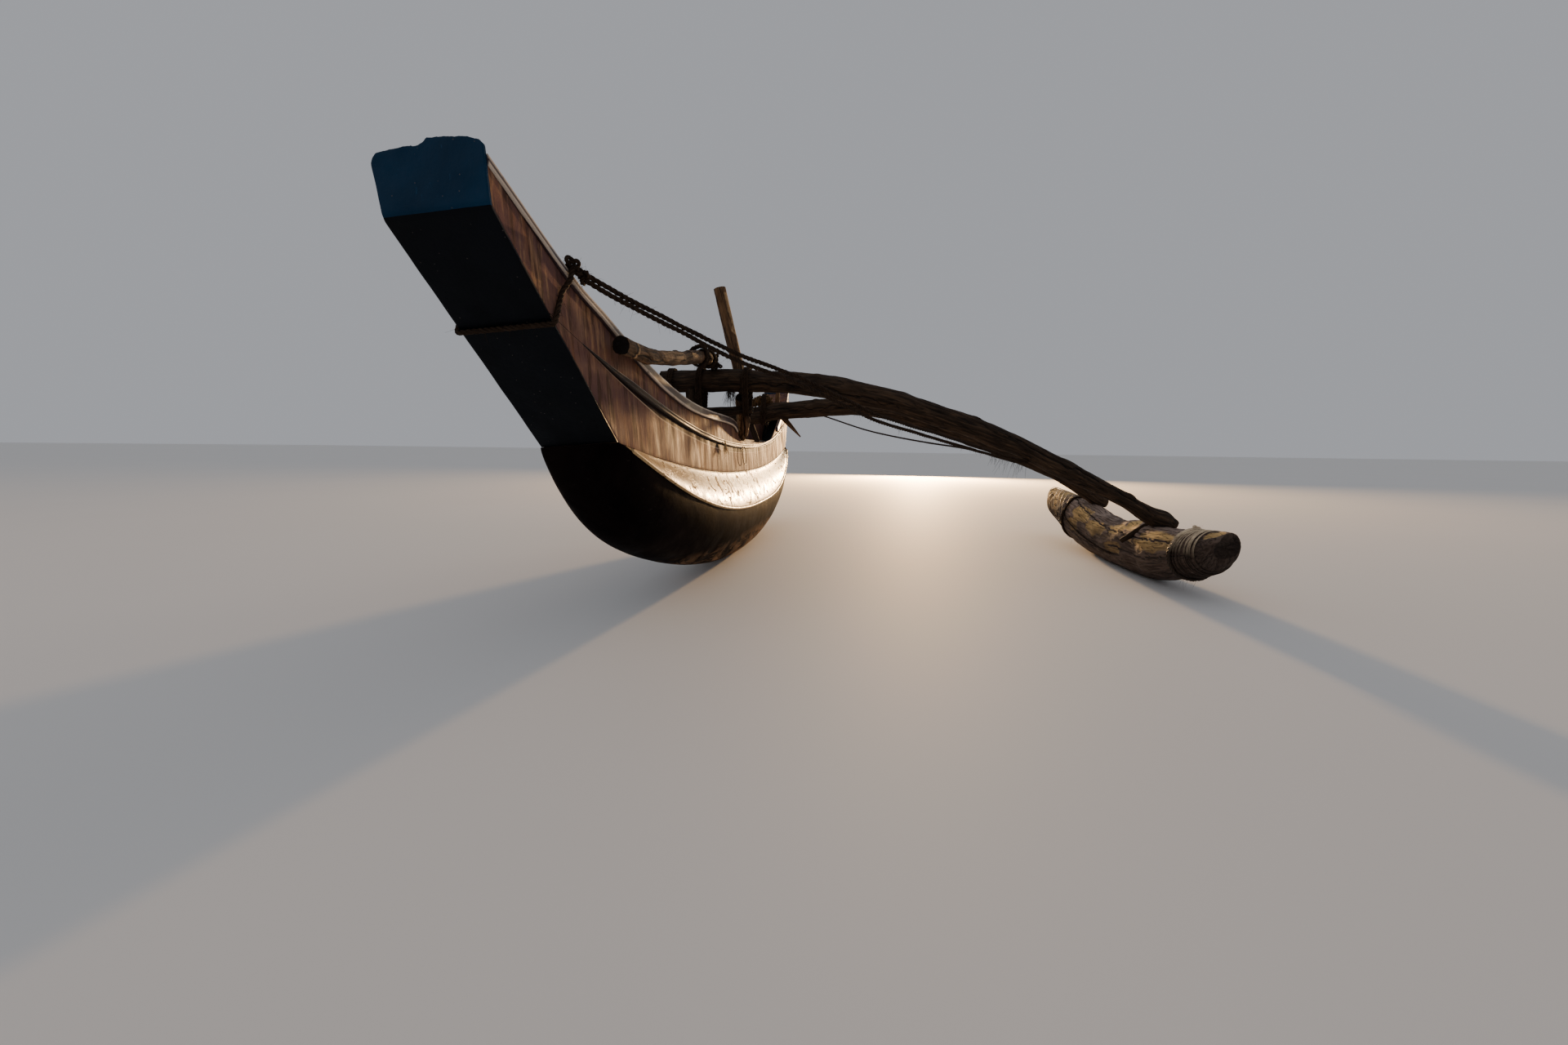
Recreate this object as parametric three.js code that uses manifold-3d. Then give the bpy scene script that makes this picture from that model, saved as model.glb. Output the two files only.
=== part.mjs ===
// Outrigger canoe: a narrow glass-fibre hull with two raked stems, beached and heeled a little away
// from its log float, which two natural crooked booms and coir lashings hold.
// Millimetres. X runs along the hull towards the near stem, Y towards the float, Z up.
import * as THREE from 'three';
import * as BufferGeometryUtils from 'three/addons/utils/BufferGeometryUtils.js';
import Module from 'manifold-3d';

const wasm = await Module();
wasm.setup();

// Driving dimensions of the hull, in the hull's own upright frame
const STEM_X = 3000; // half the length over the stem heads
const KNUCKLE_Z = 1297; // where the raked stem face turns upright into the head
const KNEE_X = 2372; // where the raked stem face meets the round lower hull
const KNEE_Z = 752;
const STEM_HALF = 139.5; // half the width of the stem faces
const TRUNK_HALF = 151.5; // half the width of the trunk amidships
const BASE_Z = 576; // foot of the trunk walls amidships
const BEAM_HALF = 240.5; // half the greatest beam, at the bead
const BEAD_Z = 345; // height of the bead amidships
const SKIN = 9; // thickness of the moulded skin
const GAP = 0.3; // clearance between touching pieces
const HEEL = 0.0756; // how far the beached hull leans away from its float, radians

// Rails and mouldings
const GUNWALE = { out: 18, high: 50 }; // section of the rails
const GUNWALE_END = { out: 5, high: 30 }; // and by the stem heads
const RUB_RADIUS = 15;
const BEAD_RADIUS = 9;

// Boards across the trunk
const THWARTS = [['near', 1500], ['middle', 0], ['far', -1500]];
const THWART_Z = 760;
const THWART_LONG = 210;
const THWART_THICK = 24;
const DECK_FROM = 2600; // the small decks run from here to the stem heads
const DECK_BELOW = 14; // and lie this far below the trunk's upper edge
const BOARD = { from: -1750, to: 60, half: 62, thick: 40, point: 330 };

// Outrigger, on the level ground the canoe stands on
const BOOM_NEAR_X = 626;
const BOOM_FAR_X = -445;
const FLOAT_Y = 2670; // distance of the float's axis from the keel line
const ROPE = 16; // diameter of the lashing rope
const STAY_ROPE = 17; // diameter of each strand of the double stay
const KNOT = [2638, 176, 1241]; // where the near stay leaves its loop, on the hull

// Height of the trunk's upper edge along the hull: the washboards drop away amidships
const SHEER = [
  // x, z
  [-3000, 1420], [-2930, 1386], [-2830, 1337], [-2707, 1277], [-2582, 1224], [-2400, 1175], [-2000, 1052],
  [-1700, 950], [-1300, 830], [-900, 790], [-400, 782], [0, 782], [230, 792], [330, 855], [430, 908],
  [600, 930], [1100, 942], [1534, 972], [1970, 1050], [2223, 1119], [2400, 1175], [2582, 1224],
  [2707, 1277], [2830, 1337], [2930, 1386], [3000, 1420],
];

// Upper edge of a stem head, ragged where moulding has broken off, from its right foot to its left
const HEAD_TOP = 1442;
const HEAD_EDGE = [
  // y, z from the top of the head
  [139.5, -8], [130, 3], [118, 5], [99, 13], [58, 18], [17, 21], [-4, 22], [-18, 12], [-29, 8], [-69, 10],
  [-112, 6], [-136, 3], [-146, -7], [-152, -19], [-147, -60],
];

const BOOM_NEAR = [
  // y, z, radius
  [-330, 1152, 64], [-50, 1160, 67], [134, 1161, 67], [383, 1150, 64], [609, 1133, 68],
  [783, 1105, 68], [965, 1066, 68], [1160, 1020, 66], [1306, 972, 64], [1560, 888, 60],
  [1700, 832, 60], [1850, 772, 56], [2020, 686, 56], [2150, 622, 54], [2330, 537, 45],
  [2485, 456, 42], [2600, 386, 52], [2680, 355, 54], [2745, 325, 30],
];

const BOOM_FAR = [
  // y, z, radius
  [-260, 990, 60], [78, 1001, 67], [228, 1036, 67], [392, 1048, 66], [534, 1060, 67],
  [640, 1070, 68], [998, 1068, 67], [1300, 1004, 64], [1600, 902, 62], [1900, 790, 58],
  [2200, 674, 56], [2330, 616, 54], [2448, 554, 50], [2602, 457, 50], [2700, 390, 48], [2768, 362, 30],
];

// Crooked log laid from the top of the near boom forward and out over the right-hand gunwale
const CROOKED_LOG = [
  // x, y, z, radius
  [2426, 125, 1076, 31], [2289, 116, 1083, 30], [2146, 107, 1087, 29], [2035, 91, 1098, 29],
  [1905, 72, 1113, 30], [1526, 44, 1164, 32], [1133, 15, 1227, 36], [848, -4, 1270, 40],
  [600, -17, 1278, 36],
];

const POLE = [
  // x, y, z, radius
  [524, 13, 1735, 38], [524, 60, 1540, 38], [524, 112, 1340, 36], [524, 154, 1170, 36], [524, 172, 1090, 33],
];

const SPLINTERED_POST = [
  // x, y, z, radius
  [190, 96, 797, 14], [215, 102, 830, 29], [300, 124, 890, 40], [420, 146, 962, 42], [540, 160, 1030, 37],
  [580, 163, 1062, 33],
];

// Posts that stand on the gunwales and carry the far boom, by side of the hull
const FAR_POSTS = {
  // x, y, z, radius
  right: [[-470, 92, 790, 20], [-464, 72, 850, 24], [-450, 34, 945, 26]],
  left: [[-445, -206, 769, 20], [-445, -205, 850, 25], [-445, -203, 960, 26]],
};

// Bar across the gunwales below the near boom, and the block that packs the boom up from it
const CROSS_BAR = [
  // y, z, radius
  [-330, 949, 30], [-219, 952, 36], [-60, 962, 31], [83, 968, 29], [165, 976, 27], [245, 981, 25],
];
const PACKING = [[626, -135, 975, 42], [626, -135, 1030, 40], [626, -135, 1105, 44]];
const ROPE_BUNDLE = [
  // x, y, z, radius
  [-440, 36, 1088, 28], [-440, 90, 1111, 42], [-440, 150, 1121, 40], [-440, 208, 1121, 26],
];
const UPRIGHT_PEG = [[-445, 250, 1085, 17], [-445, 253, 1140, 17], [-445, 257, 1190, 15]];
const TOGGLE = [[-470, 272, 1015, 24], [-462, 340, 945, 18], [-450, 439, 839, 5]];
const FLOAT_PEG = [[562, 2672, 356, 16], [530, 2590, 283, 17], [497, 2508, 210, 14]];

const FLOAT = [
  // x, top, foot, half width
  [-1425, 414, 268, 30], [-1380, 426, 212, 56], [-1250, 420, 182, 86], [-1000, 405, 135, 110],
  [-745, 388, 72, 124], [-500, 366, 24, 130], [-150, 318, 0, 132], [100, 298, 0, 132], [220, 306, 0, 132],
  [340, 327, 0, 132], [600, 325, 6, 131], [800, 334, 40, 127], [1000, 346, 92, 118], [1150, 362, 142, 97],
  [1250, 376, 190, 74], [1300, 376, 236, 50],
];

const LASHINGS = [
  // name, what it binds, axis square to its turns, middle turn, turns
  ['boom_left', 'near', 'y', -262, 2],
  ['boom_middle', 'near', 'y', -77, 2],
  ['boom_right', 'near', 'y', 212, 2],
  ['far_boom', 'far', 'y', 154, 2],
  ['log_inner', 'log', 'x', 745, 2],
  ['log_outer', 'log', 'x', 999, 3],
  ['float_far', 'float', 'x', -700, 2],
  ['float_near', 'float', 'x', 1000, 2],
];

// Double stay from the near stem's knot, past the front of the near boom, to its underside by the float
const STAY_NEAR = [
  // x, y, z
  [2630, 82, 1250], [2545, 161, 1206], [2357, 333, 1128], [2201, 475, 1067], [1997, 661, 1013],
  [1774, 865, 932], [1653, 975, 888], [1301, 1295, 813], [1023, 1549, 752], [720, 1824, 691],
  [640, 1897, 684],
];

// Slack single stay from the far stem to the far boom
const STAY_FAR = [
  // x, y, z
  [-2630, 82, 1250], [-2300, 340, 1150], [-2079, 550, 1080], [-1641, 966, 933], [-1337, 1256, 860],
  [-1052, 1527, 806], [-808, 1759, 766], [-470, 2082, 680],
];

const paint = new THREE.MeshStandardMaterial({ color: 0x9a8f94, roughness: 0.45, metalness: 0 });
const darkPaint = new THREE.MeshStandardMaterial({ color: 0x0c1a2c, roughness: 0.5, metalness: 0 });
const hullPaint = new THREE.MeshStandardMaterial({ color: 0x1a1c26, roughness: 0.4, metalness: 0 });
const palePaint = new THREE.MeshStandardMaterial({ color: 0xcfc4b0, roughness: 0.25, metalness: 0 });
const darkWood = new THREE.MeshStandardMaterial({ color: 0x3a2415, roughness: 0.85, metalness: 0 });
const greyWood = new THREE.MeshStandardMaterial({ color: 0x7d6f60, roughness: 0.9, metalness: 0 });
const coir = new THREE.MeshStandardMaterial({ color: 0x2c1c12, roughness: 0.95, metalness: 0 });

// Solids

function signedVolume(points, faces) {
  let volume = 0;
  const [a, b, c] = [new THREE.Vector3(), new THREE.Vector3(), new THREE.Vector3()];
  for (const [i, j, k] of faces) {
    a.fromArray(points[i]);
    b.fromArray(points[j]);
    c.fromArray(points[k]);
    volume += a.dot(b.cross(c));
  }
  return volume;
}

function solid(points, faces) {
  const geometry = new THREE.BufferGeometry();
  const outward = signedVolume(points, faces) > 0;
  geometry.setAttribute('position', new THREE.Float32BufferAttribute(points.flat(), 3));
  geometry.setIndex(faces.flatMap(([a, b, c]) => (outward ? [a, b, c] : [a, c, b])));
  geometry.computeVertexNormals();
  return geometry;
}

// Triangles of a flat ring, wound the way the ring runs
function capFaces(ring) {
  const origin = new THREE.Vector3(...ring[0]);
  const spokes = ring.map((p) => new THREE.Vector3(...p).sub(origin));
  const normal = new THREE.Vector3();
  for (let i = 1; i < ring.length - 1; i++) {
    normal.add(new THREE.Vector3().crossVectors(spokes[i], spokes[i + 1]));
  }
  normal.normalize();
  const across = new THREE.Vector3(Math.abs(normal.x) < 0.9 ? 1 : 0, Math.abs(normal.x) < 0.9 ? 0 : 1, 0);
  across.cross(normal).normalize();
  const up = new THREE.Vector3().crossVectors(normal, across);
  const flat = spokes.map((p) => new THREE.Vector2(p.dot(across), p.dot(up)));
  return THREE.ShapeUtils.triangulateShape(flat, []).map(([a, b, c]) => {
    const area = flat[b].clone().sub(flat[a]).cross(flat[c].clone().sub(flat[a]));
    return area > 0 ? [a, b, c] : [a, c, b];
  });
}

// Closed solid through rings of points, each ring a flat outline with as many points as the first
function loft(rings) {
  const n = rings[0].length;
  const faces = [];
  for (let i = 0; i < rings.length - 1; i++) {
    for (let j = 0; j < n; j++) {
      const a = i * n + j;
      const b = i * n + ((j + 1) % n);
      faces.push([a, b, b + n], [a, b + n, a + n]);
    }
  }
  const last = (rings.length - 1) * n;
  faces.push(...capFaces(rings[0]).map(([a, b, c]) => [a, c, b]));
  faces.push(...capFaces(rings.at(-1)).map(([a, b, c]) => [a + last, b + last, c + last]));
  return solid(rings.flat(), faces);
}

// Round bar along a smooth line through points [x, y, z, radius]
function log(rows, sides, steps) {
  const path = new THREE.CatmullRomCurve3(rows.map(([x, y, z]) => new THREE.Vector3(x, y, z)));
  const radii = new THREE.CatmullRomCurve3(rows.map(([, , , r], i) => new THREE.Vector3(r, i, 0)));
  const frames = path.computeFrenetFrames(steps, false);
  const rings = [];
  for (let i = 0; i <= steps; i++) {
    const centre = path.getPoint(i / steps);
    const radius = radii.getPoint(i / steps).x;
    rings.push(Array.from({ length: sides }, (_, j) => {
      const angle = (2 * Math.PI * j) / sides;
      return centre.clone()
        .addScaledVector(frames.normals[i], radius * Math.cos(angle))
        .addScaledVector(frames.binormals[i], radius * Math.sin(angle))
        .toArray();
    }));
  }
  return loft(rings);
}

function rope(points, diameter, steps, sides = 6) {
  const path = new THREE.CatmullRomCurve3(points.map((p) => new THREE.Vector3(...p)));
  const section = new THREE.Shape(Array.from({ length: sides }, (_, j) => {
    const angle = (2 * Math.PI * j) / sides;
    return new THREE.Vector2(Math.cos(angle), Math.sin(angle)).multiplyScalar(diameter / 2);
  }));
  return new THREE.ExtrudeGeometry(section, { steps, extrudePath: path });
}

// Side outline in X and Z, extruded across the hull between two values of Y
function plateAcross(outline, fromY, toY) {
  return loft([fromY, toY].map((y) => outline.map(([x, z]) => [x, y, z])));
}

function mirroredX(geometry) {
  const copy = geometry.clone().scale(-1, 1, 1);
  const index = copy.getIndex();
  for (let i = 0; i < index.count; i += 3) {
    const b = index.getX(i + 1);
    index.setX(i + 1, index.getX(i + 2));
    index.setX(i + 2, b);
  }
  return copy;
}

function manifoldOf(geometry) {
  const bare = geometry.clone();
  bare.deleteAttribute('normal');
  bare.deleteAttribute('uv');
  const merged = BufferGeometryUtils.mergeVertices(bare, 0.001);
  return new wasm.Manifold(new wasm.Mesh({
    numProp: 3,
    vertProperties: merged.attributes.position.array,
    triVerts: new Uint32Array(merged.index.array),
  }));
}

function geometryOf(body) {
  const result = body.getMesh();
  const out = new THREE.BufferGeometry();
  out.setAttribute('position', new THREE.BufferAttribute(new Float32Array(result.vertProperties), 3));
  out.setIndex(new THREE.BufferAttribute(new Uint32Array(result.triVerts), 1));
  out.computeVertexNormals();
  return out;
}

const cut = (geometry, ...tools) => geometryOf(
  tools.reduce((body, tool) => body.subtract(manifoldOf(tool)), manifoldOf(geometry)),
);
const fused = (...pieces) => geometryOf(pieces.map(manifoldOf).reduce((body, piece) => body.add(piece)));

function add(group, name, geometry, material) {
  const mesh = new THREE.Mesh(geometry, material);
  mesh.name = name;
  group.add(mesh);
  return mesh;
}

// Lines of the hull

// Smooth value of a table's second column at x, its first column
function along(table, x) {
  let i = 1;
  while (i < table.length - 1 && table[i][0] <= x) i++;
  const slope = (k) => {
    const [low, high] = [table[Math.max(k - 1, 0)], table[Math.min(k + 1, table.length - 1)]];
    return (high[1] - low[1]) / (high[0] - low[0]);
  };
  const [a, b] = [table[i - 1], table[i]];
  const span = b[0] - a[0];
  const t = (x - a[0]) / span;
  return (2 * t ** 3 - 3 * t ** 2 + 1) * a[1] + (t ** 3 - 2 * t ** 2 + t) * span * slope(i - 1)
    + (3 * t ** 2 - 2 * t ** 3) * b[1] + (t ** 3 - t ** 2) * span * slope(i);
}

const share = (x) => Math.min(Math.abs(x) / KNEE_X, 1);
const wallY = (x) => STEM_HALF + (TRUNK_HALF - STEM_HALF) * (1 - share(x) ** 2);
const baseZ = (x) => BASE_Z + (KNEE_Z - BASE_Z) * share(x) ** 2.2;
const beadY = (x) => STEM_HALF + (BEAM_HALF - STEM_HALF) * (1 - share(x) ** 2) ** 0.535;
const beadZ = (x) => BEAD_Z + (KNEE_Z - BEAD_Z) * share(x) ** 2.63;
const keelZ = (x) => 440 * share(x) ** 2.1 + 230 * share(x) ** 24;
const rubZ = (x) => 748 + 260 * (Math.abs(x) / 2400) ** 2.2;
const sheerZ = (x) => along(SHEER, x);

const RAKE = Math.atan2(KNUCKLE_Z - KNEE_Z, STEM_X - KNEE_X);
const rakeX = (z) => KNEE_X + (z - KNEE_Z) / Math.tan(RAKE);
const rakeZ = (x) => KNEE_Z + (Math.abs(x) - KNEE_X) * Math.tan(RAKE);

const SHELL_END = 0.97 * KNEE_X; // the open shell ends here in a solid forefoot
const ARC = 12; // facets of the round lower hull
const TURN_STEPS = 24;
const TURN_PITCH = 0.82 * ROPE; // from turn to turn of a lashing

// Evenly crowded stations between two ends, closer together near the ends
function stations(end, count) {
  return Array.from({ length: count + 1 }, (_, i) => end * Math.sin((Math.PI / 2) * ((2 * i) / count - 1)));
}

// Inner corner where two skins of the same thickness meet, given their inward normals
function mitre([y, z], n1, n2) {
  const k = SKIN / (1 + n1[0] * n2[0] + n1[1] * n2[1]);
  return [y + k * (n1[0] + n2[0]), z + k * (n1[1] + n2[1])];
}

// Corners of the right-hand shoulder panel at x: outer and inner at the bead, outer and inner at the trunk
function shoulder(x) {
  const [bead, base] = [[beadY(x), beadZ(x)], [wallY(x), baseZ(x)]];
  const length = Math.hypot(base[0] - bead[0], base[1] - bead[1]);
  const along = [(base[0] - bead[0]) / length, (base[1] - bead[1]) / length];
  const inward = [-along[1], along[0]];
  return { bead, base, along, beadIn: mitre(bead, [-1, 0], inward), baseIn: mitre(base, [-1, 0], inward) };
}

const shifted = ([y, z], [dy, dz], k) => [y + dy * k, z + dz * k];

function bottomRing(x) {
  const { bead, beadIn } = shoulder(x);
  const depth = bead[1] - keelZ(x);
  const arc = (offset) => Array.from({ length: ARC - 1 }, (_, i) => {
    const angle = (Math.PI * (i + 1)) / ARC;
    return [(bead[0] - offset) * Math.cos(angle), bead[1] - (depth - offset) * Math.sin(angle)];
  });
  const outer = [bead, ...arc(0), [-bead[0], bead[1]]];
  const inner = [[-beadIn[0], beadIn[1]], ...arc(SKIN).reverse(), beadIn];
  return [...outer, ...inner].map(([y, z]) => [x, y, z]);
}

function shoulderRing(x, side) {
  const { bead, base, along: run, beadIn, baseIn } = shoulder(x);
  const low = [shifted(bead, run, GAP), shifted(beadIn, run, GAP)];
  const high = [shifted(baseIn, run, -GAP), shifted(base, run, -GAP)];
  return [...low, ...high].map(([y, z]) => [x, side * y, z]);
}

function beadRing(x, side) {
  const { bead, along: run } = shoulder(x);
  const out = [1 + run[1], -run[0]];
  const size = Math.hypot(...out);
  const [oy, oz] = [out[0] / size, out[1] / size];
  return Array.from({ length: 6 }, (_, i) => {
    const angle = Math.PI * (i / 5 - 0.5);
    const [o, q] = [GAP + BEAD_RADIUS * Math.cos(angle), BEAD_RADIUS * Math.sin(angle)];
    return [x, side * (bead[0] + oy * o - oz * q), bead[1] + oz * o + oy * q];
  });
}

function rubRing(x, side) {
  return Array.from({ length: 6 }, (_, i) => {
    const angle = Math.PI * (i / 5 - 0.5);
    const out = wallY(x) + GAP + RUB_RADIUS * Math.cos(angle);
    return [x, side * out, rubZ(x) + RUB_RADIUS * Math.sin(angle)];
  });
}

// Lower edge of the trunk wall: on the shoulder, then along the back of the raked stem plate
function wallFoot(x) {
  const foot = baseZ(x) + GAP;
  return Math.max(foot, rakeZ(x) + (SKIN + GAP) / Math.cos(RAKE));
}

function wallRing(x, side) {
  const y = wallY(x);
  const foot = wallFoot(x);
  const inFoot = Math.abs(x) < SHELL_END ? Math.max(foot, shoulder(x).baseIn[1] + GAP) : foot;
  const ring = [[y, foot], [y, sheerZ(x)], [y - SKIN, sheerZ(x)], [y - SKIN, inFoot]];
  return ring.map(([a, z]) => [x, side * a, z]);
}

// A size of the rails at x, where it changes between two distances from amidships
function railSize(size, x, from, to) {
  const share = Math.min(1, Math.max(0, (Math.abs(x) - from) / (to - from)));
  return GUNWALE[size] + (GUNWALE_END[size] - GUNWALE[size]) * share;
}

function gunwaleRing(x, side) {
  const [inner, outer] = [wallY(x) + GAP, wallY(x) + railSize('out', x, 2600, 3000)];
  const [top, foot] = [sheerZ(x), sheerZ(x) - railSize('high', x, 1900, 2500)];
  const corners = [[inner, foot], [outer, foot + 4], [outer, top - 3], [inner, top]];
  return corners.map(([y, z]) => [x, side * y, z]);
}

// Pieces of the hull

const canoe = new THREE.Group();
const hull = new THREE.Group();
hull.rotation.x = HEEL;
canoe.add(hull);

const between = (from, to, count) => (
  Array.from({ length: count + 1 }, (_, i) => from + ((to - from) * i) / count)
);
const SIDES = [['right', 1], ['left', -1]];
const ENDS = [['near', 1], ['far', -1]];

const RAIL_FROM = { near: 380, far: -1700 }; // the gunwale rails run from here to the stems
const SHELL = [...stations(SHELL_END, 22), 230, 430, 500, ...Object.values(RAIL_FROM)].sort((a, b) => a - b);
const WALL_END = STEM_X - SKIN - GAP;
const BEYOND = [KNEE_X - SKIN / Math.sin(RAKE), ...between(KNEE_X, WALL_END, 6)];
const WALL = [...BEYOND.toReversed().map((x) => -x), ...SHELL, ...BEYOND];

function addShell() {
  add(hull, 'hull_bottom_shell', loft(SHELL.map(bottomRing)), hullPaint);
  for (const [name, side] of SIDES) {
    add(hull, `shoulder_${name}`, loft(SHELL.map((x) => shoulderRing(x, side))), palePaint);
    add(hull, `bead_${name}`, loft(SHELL.map((x) => beadRing(x, side))), palePaint);
  }
}

function addTrunk() {
  const rub = [-2570, -2450, ...SHELL, 2450, 2570];
  const near = WALL.filter((x) => x >= RAIL_FROM.near);
  const far = WALL.filter((x) => x <= RAIL_FROM.far);
  for (const [name, side] of SIDES) {
    add(hull, `trunk_wall_${name}`, loft(WALL.map((x) => wallRing(x, side))), paint);
    add(hull, `rub_rail_${name}`, loft(rub.map((x) => rubRing(x, side))), darkPaint);
    add(hull, `gunwale_near_${name}`, loft(near.map((x) => gunwaleRing(x, side))), paint);
    add(hull, `gunwale_far_${name}`, loft(far.map((x) => gunwaleRing(x, side))), paint);
  }
}

// Solid forefoot that closes the round lower hull below the raked stem
function forefoot() {
  const rings = between(SHELL_END + GAP, 0.9995 * KNEE_X, 4).map((x) => {
    const [yb, zb, depth] = [beadY(x), beadZ(x), beadZ(x) - keelZ(x)];
    const arc = Array.from({ length: ARC + 1 }, (_, i) => {
      const angle = (Math.PI * i) / ARC;
      return [x, yb * Math.cos(angle), zb - depth * Math.sin(angle)];
    });
    const top = baseZ(x) - GAP;
    return [[x, wallY(x), top], ...arc, [x, -wallY(x), top]];
  });
  return loft(rings);
}

function stemPlate() {
  const back = SKIN / Math.sin(RAKE);
  const foot = KNEE_Z + GAP;
  const front = [[rakeX(foot), foot], [STEM_X, KNUCKLE_Z]];
  const behind = front.map(([x, z]) => [x - back, z]).reverse();
  return plateAcross([...front, ...behind], -STEM_HALF, STEM_HALF);
}

// Upright plate of a stem head; worn is the share of its upper edge's height that is left
function headPlate(worn) {
  const foot = KNUCKLE_Z + GAP;
  const edge = HEAD_EDGE.map(([y, z]) => [y, HEAD_TOP + (z > 0 ? z * worn : z)]);
  const outline = [[STEM_HALF, foot], ...edge, [-STEM_HALF, foot]];
  return loft([STEM_X - SKIN, STEM_X].map((x) => outline.map(([y, z]) => [x, y, z])));
}

function endDeck() {
  const top = between(DECK_FROM, WALL_END, 3).map((x) => [x, sheerZ(x) - DECK_BELOW]);
  const under = between(WALL_END, DECK_FROM, 3).map((x) => [x, sheerZ(x) - DECK_BELOW - SKIN]);
  const reach = STEM_HALF - SKIN - GAP;
  return plateAcross([...top, ...under], -reach, reach);
}

function addStems() {
  for (const [name, end] of ENDS) {
    const turned = (geometry) => (end > 0 ? geometry : mirroredX(geometry));
    add(hull, `forefoot_${name}`, turned(forefoot()), hullPaint);
    add(hull, `stem_face_${name}`, turned(stemPlate()), darkPaint);
    add(hull, `stem_head_${name}`, turned(headPlate(end > 0 ? 1 : 0.4)), darkPaint);
    add(hull, `end_deck_${name}`, turned(endDeck()), paint);
  }
}

// Flat boards across the trunk, fixed between its walls, and a pointed board stowed on two of them
function addThwarts() {
  for (const [name, x] of THWARTS) {
    const fit = wallY(Math.abs(x) + THWART_LONG / 2) - SKIN - 2 * GAP;
    const board = new THREE.BoxGeometry(THWART_LONG, 2 * fit, THWART_THICK);
    add(hull, `thwart_${name}`, board, greyWood).position.set(x, 0, THWART_Z);
  }
  const { from, to, half, thick, point } = BOARD;
  const outline = [[from, 0], [from + point, half], [to, half], [to, -half], [from + point, -half]];
  const foot = THWART_Z + THWART_THICK / 2 + GAP;
  const stowed = loft([foot, foot + thick].map((z) => outline.map(([x, y]) => [x, y, z])));
  add(hull, 'stowed_board', stowed, darkWood);
}

addShell();
addTrunk();
addStems();
addThwarts();

// Pieces of the outrigger, on level ground

const boom = (rows, x, grow = 0) => log(rows.map(([y, z, r]) => [x, y, z, r + grow]), 12, 36);

const FLOAT_SIDES = 14;
const FLOAT_CUTS = [-1405, -1320, -1125, -620, -325, -25, 480, 700, 900, 1075, 1200];

function floatLog() {
  const column = (k) => FLOAT.map((row) => [row[0], row[k]]);
  const stops = [...FLOAT.map(([x]) => x), ...FLOAT_CUTS].sort((a, b) => a - b);
  return loft(stops.map((x) => {
    const [top, foot, half] = [1, 2, 3].map((k) => along(column(k), x));
    return Array.from({ length: FLOAT_SIDES }, (_, j) => {
      const angle = (2 * Math.PI * j) / FLOAT_SIDES;
      const z = (top + foot) / 2 - ((top - foot) / 2) * Math.cos(angle);
      return [x, FLOAT_Y + half * Math.sin(angle), Math.max(z, 0)];
    });
  }));
}

// Touching turns of rope drawn tight round solids, in planes square to an axis and clear of the ground
function turns(axis, middle, count, solids, grow = 0) {
  const [u, v] = { x: ['y', 'z'], y: ['x', 'z'] }[axis];
  const normal = new THREE.Vector3();
  normal[axis] = 1;
  const wide = ROPE + (count - 1) * TURN_PITCH;
  const slab = new THREE.BoxGeometry(...['x', 'y', 'z'].map((k) => (k === axis ? wide : 9000)));
  slab.translate(...normal.clone().multiplyScalar(middle).toArray());
  const points = solids.flatMap((piece) => {
    const slice = manifoldOf(piece).intersect(manifoldOf(slab)).getMesh().vertProperties;
    return Array.from({ length: slice.length / 3 }, (_, i) => new THREE.Vector3().fromArray(slice, 3 * i));
  });
  const off = ROPE / 2;
  const path = Array.from({ length: TURN_STEPS }, (_, i) => {
    const angle = (2 * Math.PI * i) / TURN_STEPS;
    const out = { [u]: Math.cos(angle), [v]: Math.sin(angle) };
    const reach = (p) => p[u] * out[u] + p[v] * out[v];
    const far = points.reduce((best, p) => (reach(p) > reach(best) ? p : best));
    const point = new THREE.Vector3();
    point[axis] = middle - ((count - 1) / 2) * TURN_PITCH;
    point[u] = far[u] + off * out[u];
    point[v] = Math.max(far[v] + off * out[v], ROPE / 2 + GAP);
    return point;
  });
  const turn = ring(path, ROPE + grow, normal);
  const step = normal.clone().multiplyScalar(TURN_PITCH);
  const moved = (i) => turn.clone().translate(...step.clone().multiplyScalar(i).toArray());
  return fused(...Array.from({ length: count }, (_, i) => moved(i)));
}

// Six-sided rope round a closed flat path with the given normal
function ring(path, diameter, normal) {
  const n = path.length;
  const faces = [];
  const points = path.flatMap((p, i) => {
    const run = path[(i + 1) % n].clone().sub(path[(i + n - 1) % n]).normalize();
    const out = new THREE.Vector3().crossVectors(run, normal);
    return Array.from({ length: 6 }, (_, j) => {
      const angle = (Math.PI * j) / 3;
      return p.clone()
        .addScaledVector(out, (diameter / 2) * Math.cos(angle))
        .addScaledVector(normal, (diameter / 2) * Math.sin(angle))
        .toArray();
    });
  });
  for (let i = 0; i < n; i++) {
    for (let j = 0; j < 6; j++) {
      const [a, b] = [i * 6 + j, i * 6 + ((j + 1) % 6)];
      const [c, d] = [((i + 1) % n) * 6 + j, ((i + 1) % n) * 6 + ((j + 1) % 6)];
      faces.push([a, b, d], [a, d, c]);
    }
  }
  return solid(points, faces);
}

const alongY = (rows, x) => rows.map(([y, z, r]) => [x, y, z, r]);
const grown = (rows) => rows.map(([x, y, z, r]) => [x, y, z, r + GAP]);

// What lies below a trunk wall's upper edge, to cut a flat seat in timbers that rest on it
function wallSeat(side, out = 70) {
  const section = [[-70, -200], [out, -200], [out, GAP], [-70, GAP]];
  const seat = loft(WALL.map((x) => section.map(([dy, dz]) => [x, side * wallY(x) + dy, sheerZ(x) + dz])));
  return seat.applyMatrix4(hull.matrix);
}

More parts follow.
